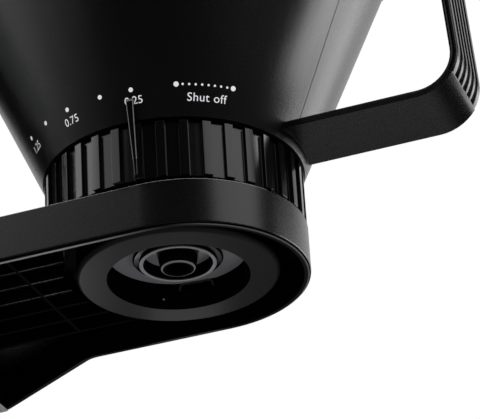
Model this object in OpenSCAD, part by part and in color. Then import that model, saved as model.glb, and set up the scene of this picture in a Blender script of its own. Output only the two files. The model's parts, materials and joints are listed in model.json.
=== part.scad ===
// Drip coffee maker: a base with a warming plate, a column, an arm that carries a
// lift-off filter holder with a rotary flow valve, a water tank and a spout above.
// Lengths are millimetres. +Z is up, +X runs from the column to the filter handle.

/* [Overall] */
// Length from the back of the base to the outside of the filter handle
overall_l = 326; // [316:1:340]
// Height of the arm's lower rim above the table
arm_z = 216; // [206:1:230]
// Wall of the moulded housings
wall = 2.5; // [2:0.25:3]

/* [Base] */
// Width of the base, side to side
base_w = 164; // [158:1:174]
// Height of the base's top face above the table
base_top = 38; // [37:1:44]
// Radius of the base's rear corners
base_corner = 24; // [16:1:32]
// Sloped edge round the top of the base
base_chamfer = 3; // [1:0.5:4]
// Height of the rubber feet below the base
foot_h = 4; // [3:0.5:6]
// Radius of a rubber foot
foot_r = 9; // [7:0.5:11]
// How far the feet stand in from the base's edge
foot_inset = 20; // [16:1:26]
// Thickness of the sheet that closes the base
base_plate_t = 2; // [1.5:0.25:3]
// Radius of the cord gland's bore
gland_r = 3.6; // [3:0.1:4.5]

/* [Warming plate] */
// Radius of the warming plate
plate_r = 62; // [56:1:66]
// Thickness of the warming plate
plate_t = 2; // [1.5:0.25:3]
// Thickness of the gasket under the plate's edge
gasket_t = 1.2; // [1:0.1:2]
// Width of the gasket under the plate's edge
gasket_w = 5; // [4:0.5:7]
// Radius of the heater's bend
heater_r = 34; // [30:1:38]
// Outside radius of the heater's water tube
tube_r = 6; // [5:0.25:6.5]
// Radius of the heating rod under the water tube
rod_r = 3.5; // [3:0.25:4]
// Straight end of the heater behind its bend
heater_leg = 40; // [30:1:46]
// Radius of the bore in the water tube and the hoses
bore_r = 4; // [3:0.25:4.5]

/* [Switch] */
// Distance of the power button from the warming plate's edge
button_back = 22; // [20:1:26]
// Distance of the power button from the side of the base
button_side = 26; // [22:1:34]
// Radius of the power button
button_r = 8; // [6:0.5:9]
// How far the button stands out of the base
button_out = 3.5; // [3:0.25:5]
// Travel of the power button
button_travel = 2.5; // [1.5:0.25:2.75]
// Distance from the button to the pilot light
lamp_step = 20; // [16:1:24]

/* [Column] */
// Width of the column, side to side
column_w = 104; // [96:1:116]
// Radius of the column's corners
column_corner = 16; // [10:1:20]
// How far the column stands back from the wide end of the arm
column_setback = 12; // [8:1:16]
// How far the column's back stands in from the base's back
column_back = 10; // [6:1:16]
// Depth of the column's rear cover
cover_depth = 20; // [16:1:26]

/* [Arm] */
// Width of the arm under the filter
arm_w = 81; // [76:0.5:86]
// Height of the arm
arm_h = 15.9; // [14:0.1:18]
// Distance from the filter axis to the wide end of the arm
arm_reach = 92.7; // [90:0.1:98]
// Distance from the filter axis to the start of the flare
flare_start = 48.4; // [46:0.1:54]
// Width of the arm's wide end
deck_w = 134; // [128:1:144]
// Distance of the round nose's centre in front of the filter axis
nose_offset = 2.9; // [1:0.1:5]
// Wall of the arm's skirt
skirt_t = 2.2; // [1.8:0.1:2.6]
// Thickness of the arm's top
arm_top_t = 3; // [2.5:0.1:4]
// Pitch of the stiffening ribs under the arm
rib_pitch = 9.9; // [9:0.1:10.5]
// Thickness of a stiffening rib
rib_t = 1.4; // [1:0.1:1.8]
// Height of the ribs' lower edges above the arm's rim
rib_z = 5.9; // [4:0.1:8]
// Thickness of the plate that closes the wide end from below
underplate_t = 2; // [1.5:0.25:3]

/* [Filter seat] */
// Radius of the seat ring's bore
seat_bore = 23.5; // [22.5:0.1:24.5]
// Height of the seat ring's lower face above the arm's rim
seat_low = 2; // [1:0.1:4]
// Height of the seat ring's upper face above the arm's top
seat_proud = 0.7; // [0.4:0.1:0.9]
// Width of the seat ring's screw flange
seat_flange = 3.8; // [3.4:0.1:4]
// Gap between the seat ring's flange and the arm's skirt
seat_clear = 1.2; // [0.6:0.1:1.6]
// Width of the key that keeps the filter holder from turning
key_w = 11; // [9:0.5:14]
// Depth of the key
key_d = 3; // [2:0.25:4]

/* [Flow ring] */
// Radius over the ring's grip ribs
ring_r = 43; // [42:0.1:45]
// Height of the ring
ring_h = 19.6; // [18:0.1:23]
// Gap between the arm and the ring
ring_gap = 1; // [0.8:0.1:1.5]
// Number of grip ribs
ring_ribs = 36; // [30:1:40]
// Height of a grip rib above its groove
ring_rib_h = 1.5; // [1:0.1:2]
// Width of a grip rib
ring_rib_w = 3; // [2.4:0.1:3.4]
// Wall of the ring behind its grooves
ring_wall = 3; // [2:0.1:4]
// Direction of the pointer at rest, seen from above
pointer_dir = -84.3; // [-90:0.1:-80]
// Width of the pointer at its tip
pointer_w = 2.5; // [2:0.1:2.8]
// Width of the pointer at its foot
pointer_foot_w = 1.2; // [1:0.1:1.6]
// Sideways step of the pointer from the middle of its rib
pointer_shift = -0.6; // [-1:0.1:1]
// Height of the pointer's tip above the ring
pointer_rise = 5.5; // [4:0.1:7]
// Turn from the rest mark to the largest flow
turn_open = 57; // [40:1:60]
// Turn from the rest mark to the closed stop
turn_closed = 40; // [30:1:45]

/* [Filter holder] */
// Gap between the ring and the cone
cone_gap = 1; // [0.8:0.1:1.5]
// Height of the cone
cone_h = 97; // [90:1:104]
// Lean of the cone's wall from the upright
cone_lean = 23.8; // [22:0.1:25]
// Wall of the cone
cone_wall = 2.5; // [2:0.1:3]
// Width of the rim round the cone's top
rim_w = 1.6; // [1:0.1:2.5]
// Height of the rim round the cone's top
rim_h = 4; // [3:0.1:6]
// Number of paper ribs inside the cone
paper_ribs = 20; // [12:1:24]
// Outside radius of the spigot under the cone
spigot_r = 30; // [29:0.1:31]
// Thickness of the floor and the valve plates
floor_t = 3; // [2.5:0.1:3.5]
// Radius of the outlet tube under the holder
outlet_r = 13; // [12:0.1:14]
// Radius of the drip nozzle's tip
nozzle_r = 5.6; // [5:0.1:6]
// Radius of the drip nozzle's bore
nozzle_bore = 3.9; // [3:0.1:4.2]

/* [Handle] */
// Distance from the filter axis to the outside of the handle
handle_reach = 103.9; // [100:0.1:108]
// Width of the handle's strap
strap_w = 26.8; // [24:0.1:29]
// Thickness of the strap
strap_t = 3; // [2.6:0.1:3.4]
// Height of the strap's underside above the cone's lower edge
strap_rise = 2.6; // [2:0.1:5]
// Outer radius of the strap's bends
strap_bend = 15; // [12:0.5:17]
// Lean of the grip towards the cone
grip_lean = 2.8; // [1:0.1:4]
// Number of grooves along the grip pad
grip_grooves = 5; // [3:1:6]

/* [Tank] */
// How far the tank stands in from the arm's wide end
tank_inset = 4; // [3:0.5:6]
// Wall of the tank
tank_wall = 2.5; // [2:0.1:3]
// Radius of the tank's corners
tank_corner = 13; // [10:0.5:16]
// Thickness of the lid
lid_t = 8; // [8:0.5:10]
// Radius of the lid's hinge pin
lid_pin_r = 2; // [1.5:0.1:2.2]

/* [Spout] */
// Room between the cone's rim and the spray head
spray_gap = 24; // [22:1:30]
// Radius of the spray head
spray_r = 20; // [16:1:24]
// Height of the spray head
spray_h = 8; // [6:0.5:10]
// Height of the spout's housing
spout_h = 22; // [20:0.5:26]
// Width of the spout and of the riser housing
spout_w = 48; // [46:1:56]
// Depth of the riser housing, front to back
riser_l = 32; // [30:0.5:36]
// Outside radius of the hoses
hose_r = 6; // [5.5:0.25:6.5]
// Bend radius of the hoses, at their middle line
hose_bend = 11; // [9:0.5:11.5]

/* [Clearances] */
// Gap between pieces that are pushed or screwed together
fit_gap = 0.2; // [0.1:0.05:0.3]
// Gap between pieces that turn or slide
run_gap = 0.35; // [0.3:0.05:0.45]
// Gap of a pin in the barrel that turns on it
pin_gap = 0.08; // [0.05:0.01:0.1]

/* [Hidden] */
$fn = 72;
cut = 1;
tank_gap = 1;
screw_r = 1.6;
screw_head = 1.2;
screw_l = 12;
short_screw_l = 9;
post_r = 4.5;
post_l = 12;
key_drop = 2.4;
fitting_r = hose_r + 2;
riser_corner = 10;
cone_floor = strap_rise - 3 * fit_gap;
tab_w = 14;

// Plan positions
rear_x = -overall_l / 2;
filter_x = overall_l / 2 - handle_reach;
deck_x = filter_x - arm_reach;
column_x1 = deck_x - column_setback;
column_x0 = rear_x + column_back;
cover_x = column_x0 + cover_depth;
riser_x1 = deck_x - tank_inset / 2;
riser_x0 = riser_x1 - riser_l;
tank_x1 = riser_x0 - tank_gap;
tank_x0 = rear_x + tank_inset;
tank_w = deck_w - 2 * tank_inset;

// Heights above the table
base_floor = foot_h + base_plate_t;
plate_low = base_top + gasket_t;
rod_z = plate_low - fit_gap - rod_r;
tube_z = rod_z - rod_r - fit_gap - tube_r;
clamp_top = tube_z - tube_r - fit_gap;
clamp_t = 2.5;
gland_z = foot_h + (base_top - foot_h) / 2;
deck_top = arm_z + arm_h;

// Heights above the arm's rim, on the filter axis
web_rise = 4.4;
web_t = 2.4;
valve_room = 3.9;
shutter_t = 2;
seal_t = 1;
dish_drop = 5.2;
outlet_l = 4.5;
nozzle_out = 1.8;
seat_top = arm_h + seat_proud;
ring_low = arm_h + ring_gap;
ring_top = ring_low + ring_h;
cone_low = ring_top + cone_gap;
cone_top = cone_low + cone_h;
web_low = ring_low + web_rise;
cup_top = web_low + web_t + valve_room;
shutter_low = cup_top + run_gap;
sump_low = shutter_low + shutter_t + run_gap + seal_t;
dish_z = seat_top - dish_drop;
outlet_low = dish_z - outlet_l;
nozzle_low = outlet_low - nozzle_out;

// Radii on the filter axis
cone_lip = 0.6;
spigot_t = 4.5;
groove_d = 1.5;
sump_ledge = 3.5;
drain_r = 12;
rib_gap = 0.6;
cone_k = tan(cone_lean);
cone_r = ring_r + cone_lip;
cone_top_r = cone_r + cone_k * cone_h;
cone_wall_x = cone_wall / cos(cone_lean);
spigot_in = spigot_r - spigot_t;
groove_r = spigot_r - groove_d;
sump_r = spigot_in - sump_ledge;
ring_root = ring_r - ring_rib_h;
ring_in = ring_root - ring_wall;
seat_r = arm_w / 2 - skirt_t - seat_flange - seat_clear;
rib_clear_r = seat_r + seat_flange + rib_gap;

// Spout and tank heights
spray_low = arm_z + cone_top + spray_gap;
spout_low = spray_low + spray_h;
spout_top = spout_low + spout_h;
tank_top = spout_top + wall;
barrel_r = 4;
barrel_in = 5;
barrel_up = 4.6;
hinge_x = tank_x0 + barrel_in;
hinge_z = tank_top + barrel_up;
ear_t = 6;
ear_y = tank_w / 2 - tank_corner - ear_t;

// The hoses leave the heater's two ends on lines that lean towards the middle
riser_pipe_x = column_x1 - wall - hose_r - fit_gap;
hose_pitch = 46;
inlet_pipe_x = riser_pipe_x - hose_pitch;
heater_lean = 11.3;
heater_end = [
    filter_x - heater_r * sin(heater_lean) - heater_leg * cos(heater_lean),
    heater_r * cos(heater_lean) - heater_leg * sin(heater_lean)
];
inlet_run = (heater_end[0] - inlet_pipe_x) / cos(heater_lean);
inlet_pipe_y = heater_end[1] - inlet_run * sin(heater_lean);
riser_run = (heater_end[0] - riser_pipe_x) / cos(heater_lean);
riser_foot_y = -heater_end[1] + riser_run * sin(heater_lean);
spout_pipe_z = spout_low + spout_h / 2;
valve_drop = 70;
valve_low = arm_z - valve_drop;
valve_h = 26;

// Switch, on the base's top beside the column
switch_x = filter_x - plate_r - button_back;
switch_y = -base_w / 2 + button_side;
lamp_y = switch_y + lamp_step;
lamp_r = 2.5;
bezel_w = 3;
bezel_t = 1.5;
stem_lip = 1.5;
stem_top = base_top - wall - run_gap;
stem_low = stem_top - 2;
switch_top = stem_low - button_travel - 0.8;
switch_w = 22;

function unit(v) = v / norm(v);

// Points of a round corner at p, between the points a and b, in two or three dimensions
function fillet(a, p, b, r, n) =
    r == 0 ? [p] :
    let (
        u = unit(a - p),
        v = unit(b - p),
        half = acos(u * v) / 2,
        turn = 180 - 2 * half,
        c = p + unit(u + v) * r / sin(half),
        s = p + u * r / tan(half) - c,
        e = p + v * r / tan(half) - c
    )
    [for (i = [0:n]) c + (sin(turn * (1 - i / n)) * s + sin(turn * i / n) * e) / sin(turn)];

function rounded(pts, radii, n = 8) =
    [for (i = [0:len(pts) - 1])
        each fillet(pts[(i + len(pts) - 1) % len(pts)], pts[i], pts[(i + 1) % len(pts)], radii[i], n)];

// Rounded rectangle from x0 to x1, centred on the X axis
module plan_block(x0, x1, w, r) {
    polygon(rounded([[x0, -w / 2], [x1, -w / 2], [x1, w / 2], [x0, w / 2]], [r, r, r, r]));
}

// The base from above: a round front end under the filter and two rear corners
module plan_base(inset) {
    x0 = rear_x + inset;
    half = base_w / 2 - inset;
    r = base_corner - inset;
    translate([filter_x, 0]) circle(r = half);
    polygon(rounded([[x0, -half], [filter_x, -half], [filter_x, half], [x0, half]], [r, 0, 0, r]));
}

// The arm from above: a round nose, straight sides, a flare and the wide end
module plan_arm(inset) {
    half = arm_w / 2 - inset;
    wide = deck_w / 2 - inset;
    flare = atan2((deck_w - arm_w) / 2, arm_reach - flare_start);
    shift = inset * tan(flare / 2);
    nose = filter_x + nose_offset;
    xs = filter_x - flare_start - shift;
    xe = deck_x - shift;
    x0 = rear_x + inset;
    soft = 9;
    r = 14 - inset;
    translate([nose, 0]) circle(r = half);
    polygon(rounded(
        [[nose, half], [xs, half], [xe, wide], [x0, wide],
         [x0, -wide], [xe, -wide], [xs, -half], [nose, -half]],
        [0, soft + inset, soft - inset, r, r, soft - inset, soft + inset, 0]));
}

module tube(r_out, r_in, h) {
    difference() {
        cylinder(r = r_out, h = h);
        translate([0, 0, -cut]) cylinder(r = r_in, h = h + 2 * cut);
    }
}

// Places its children on the filter axis, at the height of the arm's rim
module on_filter() {
    translate([filter_x, 0, arm_z]) children();
}

// A pipe of radius r along +X
module pipe(r, l) {
    rotate([0, 90, 0]) cylinder(r = r, h = l);
}

// An open path through the corners, each inner one rounded to radius r
function bent_path(corners, r, n = 6) = concat(
    [corners[0]],
    [for (i = [1:len(corners) - 2]) each fillet(corners[i - 1], corners[i], corners[i + 1], r, n)],
    [corners[len(corners) - 1]]
);

function tangents(path) =
    [for (i = [0:len(path) - 1]) unit(path[min(i + 1, len(path) - 1)] - path[max(i - 1, 0)])];

// One normal for each tangent, carried along the path without twist
function normals(ts, start, i = 0) =
    i == len(ts) ? [] :
    let (n = unit(start - (start * ts[i]) * ts[i]))
    concat([n], normals(ts, n, i + 1));

// A hose with a bore, swept along a path
module hose(path, r_out, r_in) {
    sides = 12;
    rings = len(path);
    ts = tangents(path);
    ns = normals(ts, cross(ts[0], [0, 0, 1]));
    points = [
        for (r = [r_out, r_in], i = [0:rings - 1], j = [0:sides - 1])
            path[i] + r * (cos(j * 360 / sides) * ns[i] + sin(j * 360 / sides) * cross(ts[i], ns[i]))
    ];
    function at(k, i, j) = (k * rings + i) * sides + j % sides;
    polyhedron(points, concat(
        [for (i = [0:rings - 2], j = [0:sides - 1]) each [
            [at(0, i, j), at(0, i + 1, j), at(0, i + 1, j + 1)],
            [at(0, i, j), at(0, i + 1, j + 1), at(0, i, j + 1)],
            [at(1, i, j), at(1, i + 1, j + 1), at(1, i + 1, j)],
            [at(1, i, j), at(1, i, j + 1), at(1, i + 1, j + 1)]
        ]],
        [for (j = [0:sides - 1]) each [
            [at(0, 0, j), at(0, 0, j + 1), at(1, 0, j + 1)],
            [at(0, 0, j), at(1, 0, j + 1), at(1, 0, j)],
            [at(0, rings - 1, j), at(1, rings - 1, j + 1), at(0, rings - 1, j + 1)],
            [at(0, rings - 1, j), at(1, rings - 1, j), at(1, rings - 1, j + 1)]
        ]]
    ));
}

// A screw with its head's flat face at the origin and its shank along -Z
module screw(l) {
    translate([0, 0, -screw_head]) cylinder(r = 2 * screw_r, h = screw_head);
    translate([0, 0, -l]) cylinder(r = screw_r, h = l - screw_head / 2);
}

// Base

function foot_spots() = [
    for (s = [-1, 1]) each [
        [rear_x + base_corner, s * (base_w / 2 - foot_inset)],
        [filter_x + base_w / 4, s * (base_w / 2 - foot_inset) * 0.8]
    ]
];

function base_screw_spots() = [
    for (s = [-1, 1]) each [
        [rear_x + base_corner + foot_inset, s * (base_w / 2 - foot_inset)],
        [filter_x, s * (base_w / 2 - foot_inset / 2)]
    ]
];

module base_shell() {
    color("#1c1c1e") {
        difference() {
            hull() {
                translate([0, 0, foot_h]) linear_extrude(base_top - foot_h - base_chamfer) plan_base(0);
                translate([0, 0, foot_h]) linear_extrude(base_top - foot_h) plan_base(base_chamfer);
            }
            translate([0, 0, foot_h - cut])
                linear_extrude(base_top - wall - foot_h + cut) plan_base(wall);
            translate([filter_x, 0, base_top - wall - cut])
                cylinder(r = plate_r - gasket_w + fit_gap, h = wall + 2 * cut);
            translate([0, 0, base_top - wall - cut])
                linear_extrude(wall + 2 * cut)
                    plan_block(cover_x, column_x1 - wall, column_w - 4 * wall, column_corner - wall);
            translate([switch_x, switch_y, base_top - wall - cut])
                cylinder(r = button_r + run_gap, h = wall + 2 * cut);
            translate([switch_x, lamp_y, base_top - wall - cut])
                cylinder(r = lamp_r + fit_gap, h = wall + 2 * cut);
            translate([rear_x - cut, 0, gland_z]) pipe(2 * gland_r + fit_gap, wall + 2 * cut);
        }
        for (p = base_screw_spots())
            translate([p[0], p[1], base_floor])
                tube(post_r, screw_r + fit_gap, base_top - wall / 2 - base_floor);
    }
}

module base_plate() {
    slots = 7;
    color("#2a2a2c")
    difference() {
        translate([0, 0, foot_h]) linear_extrude(base_plate_t) plan_base(wall + fit_gap);
        for (p = foot_spots())
            translate([p[0], p[1], foot_h - cut])
                cylinder(r = foot_r / 2 + fit_gap, h = base_plate_t + 2 * cut);
        for (p = base_screw_spots())
            translate([p[0], p[1], foot_h - cut]) {
                cylinder(r = screw_r + fit_gap, h = base_plate_t + 2 * cut);
                cylinder(r = 2 * screw_r + fit_gap, h = screw_head + cut);
            }
        for (i = [0:slots - 1])
            translate([filter_x + (i - (slots - 1) / 2) * foot_r - wall / 2, -base_w / 8, foot_h - cut])
                cube([wall, base_w / 4, base_plate_t + 2 * cut]);
    }
}

module rubber_feet() {
    color("#101010")
    for (p = foot_spots())
        translate([p[0], p[1], 0]) {
            cylinder(r = foot_r, h = foot_h);
            cylinder(r = foot_r / 2, h = base_floor + wall);
        }
}

module base_screws() {
    color("#8d9093")
    for (p = base_screw_spots())
        translate([p[0], p[1], foot_h]) mirror([0, 0, 1]) screw(screw_l);
}

module cord_gland() {
    color("#151515")
    translate([rear_x, 0, gland_z])
    difference() {
        union() {
            pipe(2 * gland_r, 4 * wall);
            translate([wall, 0, 0]) pipe(2 * gland_r + wall, wall);
        }
        translate([-cut, 0, 0]) pipe(gland_r, 4 * wall + 2 * cut);
    }
}

// Warming plate and heater

module warming_plate() {
    skirt = plate_r - gasket_w;
    color("#3a3b3d")
    translate([filter_x, 0, 0]) {
        translate([0, 0, plate_low]) cylinder(r = plate_r, h = plate_t);
        translate([0, 0, base_top - wall])
            tube(skirt, skirt - plate_t, plate_low - base_top + wall + plate_t / 2);
    }
}

module plate_gasket() {
    color("#4a3a36")
    translate([filter_x, 0, base_top]) tube(plate_r, plate_r - gasket_w + fit_gap, gasket_t);
}

// A horseshoe of radius r at height z whose two ends lean towards the middle
module horseshoe(r, z, leg) {
    turn = 90 + heater_lean;
    translate([filter_x, 0, z]) {
        rotate([0, 0, -turn]) rotate_extrude(angle = 2 * turn) translate([heater_r, 0]) circle(r = r);
        for (s = [0, 1]) mirror([0, s, 0])
            rotate([0, 0, turn]) translate([heater_r, 0, 0]) rotate([-90, 0, 0]) cylinder(r = r, h = leg);
    }
}

module water_tube() {
    color("#b9bcc0")
    difference() {
        horseshoe(tube_r, tube_z, heater_leg);
        horseshoe(bore_r, tube_z, heater_leg + cut);
    }
}

module heating_rod() {
    color("#77736b") horseshoe(rod_r, rod_z, heater_leg / 2);
}

clamp_x = filter_x - heater_r / 3;

module heater_clamp() {
    l = 2 * (heater_r + tube_r);
    color("#9a9da0")
    difference() {
        translate([clamp_x - tube_r, -l / 2, clamp_top - clamp_t]) cube([2 * tube_r, l, clamp_t]);
        translate([clamp_x, 0, clamp_top - clamp_t - cut])
            cylinder(r = screw_r + fit_gap, h = clamp_t + 2 * cut);
    }
}

module clamp_bolt() {
    nut_h = 4;
    low = clamp_top - clamp_t - nut_h;
    color("#8d9093")
    translate([clamp_x, 0, low]) {
        cylinder(r = screw_r, h = plate_low - low);
        cylinder(r = 2 * screw_r, h = nut_h, $fn = 6);
    }
}

module thermostat() {
    r = 8;
    color("#d8d4c8")
    translate([filter_x + heater_r / 3, 0, plate_low - r]) {
        cylinder(r = r, h = r);
        for (s = [-1, 1]) translate([-0.4, s * r / 2 - 3, 2 - r]) cube([0.8, 6, r]);
    }
}

// Switch

module switch_body() {
    color("#202022")
    translate([switch_x - switch_w / 2, switch_y - switch_w / 2, base_floor])
        cube([switch_w, switch_w, switch_top - base_floor]);
}

module button_bezel() {
    color("#a7aaad")
    translate([switch_x, switch_y, base_top])
        tube(button_r + run_gap + bezel_w, button_r + run_gap, bezel_t);
}

module power_button() {
    color("#26272a")
    translate([switch_x, switch_y, 0]) {
        translate([0, 0, stem_low]) cylinder(r = button_r, h = base_top + button_out - stem_low);
        translate([0, 0, stem_low]) cylinder(r = button_r + stem_lip, h = stem_top - stem_low);
    }
}

module pilot_lamp() {
    color("#f4e9d0")
    translate([switch_x, lamp_y, base_top - 2 * wall]) {
        cylinder(r = lamp_r, h = 2 * wall + lamp_r / 3);
        cylinder(r = lamp_r + stem_lip, h = wall - fit_gap);
    }
}

// Column

function cover_screw_spots() = [
    for (s = [-1, 1]) each [
        [s * (column_w / 2 - column_corner), base_top + cover_depth],
        [s * (column_w / 2 - column_corner), arm_z - cover_depth]
    ]
];

module column_walls() {
    difference() {
        plan_block(column_x0, column_x1, column_w, column_corner);
        plan_block(column_x0 + wall, column_x1 - wall, column_w - 2 * wall, column_corner - wall);
    }
}

module column_shell() {
    h = arm_z - base_top;
    color("#1c1c1e")
    difference() {
        union() {
            intersection() {
                translate([0, 0, base_top]) linear_extrude(h) column_walls();
                translate([cover_x, -column_w, base_top - cut]) cube([overall_l, 2 * column_w, h + 2 * cut]);
            }
            for (p = cover_screw_spots()) {
                translate([cover_x, p[0], p[1]]) pipe(post_r, post_l);
                translate([cover_x, p[0] > 0 ? p[0] : -column_w / 2 + wall / 2, p[1] - wall / 2])
                    cube([post_l, column_w / 2 - wall / 2 - abs(p[0]), wall]);
            }
        }
        for (p = cover_screw_spots())
            translate([cover_x - cut, p[0], p[1]]) pipe(screw_r + fit_gap, post_l);
    }
}

module rear_cover() {
    h = arm_z - base_top;
    slots = 9;
    slot_w = column_w / 2;
    color("#1c1c1e")
    difference() {
        union() {
            intersection() {
                translate([0, 0, base_top]) linear_extrude(h) column_walls();
                translate([cover_x - overall_l, -column_w, base_top - cut])
                    cube([overall_l, 2 * column_w, h + 2 * cut]);
            }
            for (p = cover_screw_spots())
                translate([column_x0 + wall / 2, p[0], p[1]]) pipe(post_r, cover_depth - wall / 2);
        }
        for (p = cover_screw_spots()) {
            translate([column_x0 - cut, p[0], p[1]]) pipe(screw_r + fit_gap, cover_depth + 2 * cut);
            translate([column_x0 - cut, p[0], p[1]]) pipe(2 * screw_r + fit_gap, cover_depth / 2 + cut);
        }
        for (i = [0:slots - 1])
            translate([column_x0 - cut, -slot_w / 2, arm_z - 2 * cover_depth - i * 3 * wall])
                cube([wall + 2 * cut, slot_w, wall]);
    }
}

module cover_screws() {
    color("#8d9093")
    for (p = cover_screw_spots())
        translate([column_x0 + cover_depth / 2 - screw_head, p[0], p[1]])
            rotate([0, -90, 0]) screw(cover_depth / 2 + screw_head + post_r);
}

// Arm and filter seat

pocket_x = deck_x + skirt_t / 2;

function underplate_screw_spots() = [
    for (s = [-1, 1]) each [
        [deck_x - 2 * post_r, s * (deck_w / 2 - 2 * post_r)],
        [rear_x + 2 * post_r, s * (deck_w / 2 - 3 * post_r)]
    ]
];

function seat_screw_spots() = [
    for (a = [90, 270])
        (seat_r + seat_flange / 2) * [cos(a), sin(a)]
];

module arm_ribs() {
    top = arm_h - arm_top_t / 2;
    count = 3;
    x0 = pocket_x - filter_x - skirt_t / 2;
    difference() {
        union() {
            for (i = [-count:count])
                translate([x0, i * rib_pitch - rib_t / 2, rib_z]) cube([-x0, rib_t, top - rib_z]);
            translate([-flare_start - rib_t / 2, -count * rib_pitch, rib_z])
                cube([rib_t, 2 * count * rib_pitch, top - rib_z]);
        }
        translate([0, 0, rib_z - cut]) cylinder(r = rib_clear_r, h = arm_h);
    }
}

module arm_deck() {
    far = 2 * overall_l;
    inside = arm_h - arm_top_t;
    color("#18181a")
    difference() {
        union() {
            difference() {
                translate([0, 0, arm_z]) linear_extrude(arm_h) plan_arm(0);
                translate([0, 0, arm_z - cut]) linear_extrude(inside + cut) intersection() {
                    plan_arm(skirt_t);
                    translate([pocket_x, -far / 2]) square(far);
                }
                translate([0, 0, arm_z - cut]) linear_extrude(inside + cut) intersection() {
                    plan_arm(skirt_t);
                    translate([pocket_x - skirt_t - far, -far / 2]) square(far);
                }
                translate([0, 0, arm_z - cut]) linear_extrude(underplate_t + cut) intersection() {
                    plan_arm(-cut);
                    translate([pocket_x - skirt_t / 2 - far, -far / 2]) square(far);
                }
            }
            on_filter() arm_ribs();
            for (p = underplate_screw_spots())
                translate([p[0], p[1], arm_z + underplate_t])
                    cylinder(r = post_r, h = inside - underplate_t + arm_top_t / 2);
        }
        on_filter() translate([0, 0, inside - cut]) cylinder(r = seat_r + fit_gap, h = arm_top_t + 2 * cut);
        on_filter() for (p = seat_screw_spots())
            translate([p[0], p[1], inside - cut])
                cylinder(r = screw_r / 2 + fit_gap, h = arm_top_t / 2 + cut);
        for (p = underplate_screw_spots())
            translate([p[0], p[1], arm_z]) cylinder(r = screw_r + fit_gap, h = inside - wall);
        for (p = hose_spots())
            translate([p[0], p[1], arm_z + inside - cut]) cylinder(r = p[2], h = arm_top_t + 2 * cut);
    }
}

// Where the two hoses pass through the arm's wide end, and the radius they need
function hose_spots() = [
    [riser_pipe_x, riser_foot_y, hose_r + fit_gap],
    [inlet_pipe_x, inlet_pipe_y, fitting_r + fit_gap]
];

module deck_underplate() {
    far = 2 * overall_l;
    color("#c9cbcd")
    difference() {
        translate([0, 0, arm_z]) linear_extrude(underplate_t) intersection() {
            plan_arm(0);
            translate([pocket_x - skirt_t / 2 - far, -far / 2]) square(far);
        }
        for (p = hose_spots())
            translate([p[0], p[1], arm_z - cut]) cylinder(r = p[2], h = underplate_t + 2 * cut);
        for (p = underplate_screw_spots())
            translate([p[0], p[1], arm_z - cut]) {
                cylinder(r = screw_r + fit_gap, h = underplate_t + 2 * cut);
                cylinder(r = 2 * screw_r + fit_gap, h = screw_head + cut);
            }
    }
}

module underplate_screws() {
    color("#8d9093")
    for (p = underplate_screw_spots())
        translate([p[0], p[1], arm_z]) mirror([0, 0, 1]) screw(short_screw_l);
}

module seat_ring() {
    flange_top = arm_h - arm_top_t;
    key_low = dish_z - key_drop;
    color("#37383a")
    on_filter()
    difference() {
        union() {
            translate([0, 0, seat_low]) cylinder(r = seat_r, h = seat_top - seat_low);
            translate([0, 0, flange_top - wall]) cylinder(r = seat_r + seat_flange, h = wall);
        }
        translate([0, 0, seat_low - cut]) cylinder(r = seat_bore, h = seat_top - seat_low + 2 * cut);
        translate([-key_w / 2 - run_gap, 0, key_low])
            cube([key_w + 2 * run_gap, seat_bore + key_d + run_gap, seat_top - key_low + cut]);
        for (p = seat_screw_spots())
            translate([p[0], p[1], flange_top - wall - cut])
                cylinder(r = screw_r / 2 + fit_gap, h = wall + 2 * cut);
    }
}

module seat_screws() {
    l = wall + arm_top_t / 2;
    color("#8d9093")
    on_filter() for (p = seat_screw_spots())
        translate([p[0], p[1], arm_h - arm_top_t - wall]) {
            cylinder(r = screw_r / 2, h = l);
            translate([0, 0, -screw_head]) cylinder(r = screw_r, h = screw_head);
        }
}

// Tank and lid

module water_tank() {
    color("#5a6064", 0.5)
    difference() {
        union() {
            difference() {
                translate([0, 0, deck_top]) linear_extrude(tank_top - deck_top)
                    plan_block(tank_x0, tank_x1, tank_w, tank_corner);
                translate([0, 0, deck_top + tank_wall]) linear_extrude(tank_top - deck_top)
                    plan_block(tank_x0 + tank_wall, tank_x1 - tank_wall,
                               tank_w - 2 * tank_wall, tank_corner - tank_wall);
            }
            for (s = [0, 1]) mirror([0, s, 0]) {
                translate([hinge_x, ear_y, hinge_z]) rotate([-90, 0, 0]) cylinder(r = barrel_r, h = ear_t);
                translate([tank_x0, ear_y, tank_top - barrel_r])
                    cube([hinge_x - tank_x0 + barrel_r, ear_t, hinge_z - tank_top + barrel_r]);
            }
        }
        translate([hinge_x, -tank_w / 2, hinge_z]) rotate([-90, 0, 0])
            cylinder(r = lid_pin_r + pin_gap / 2, h = tank_w);
        translate([inlet_pipe_x, inlet_pipe_y, deck_top - cut])
            cylinder(r = fitting_r + fit_gap, h = tank_wall + 2 * cut);
    }
}

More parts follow.
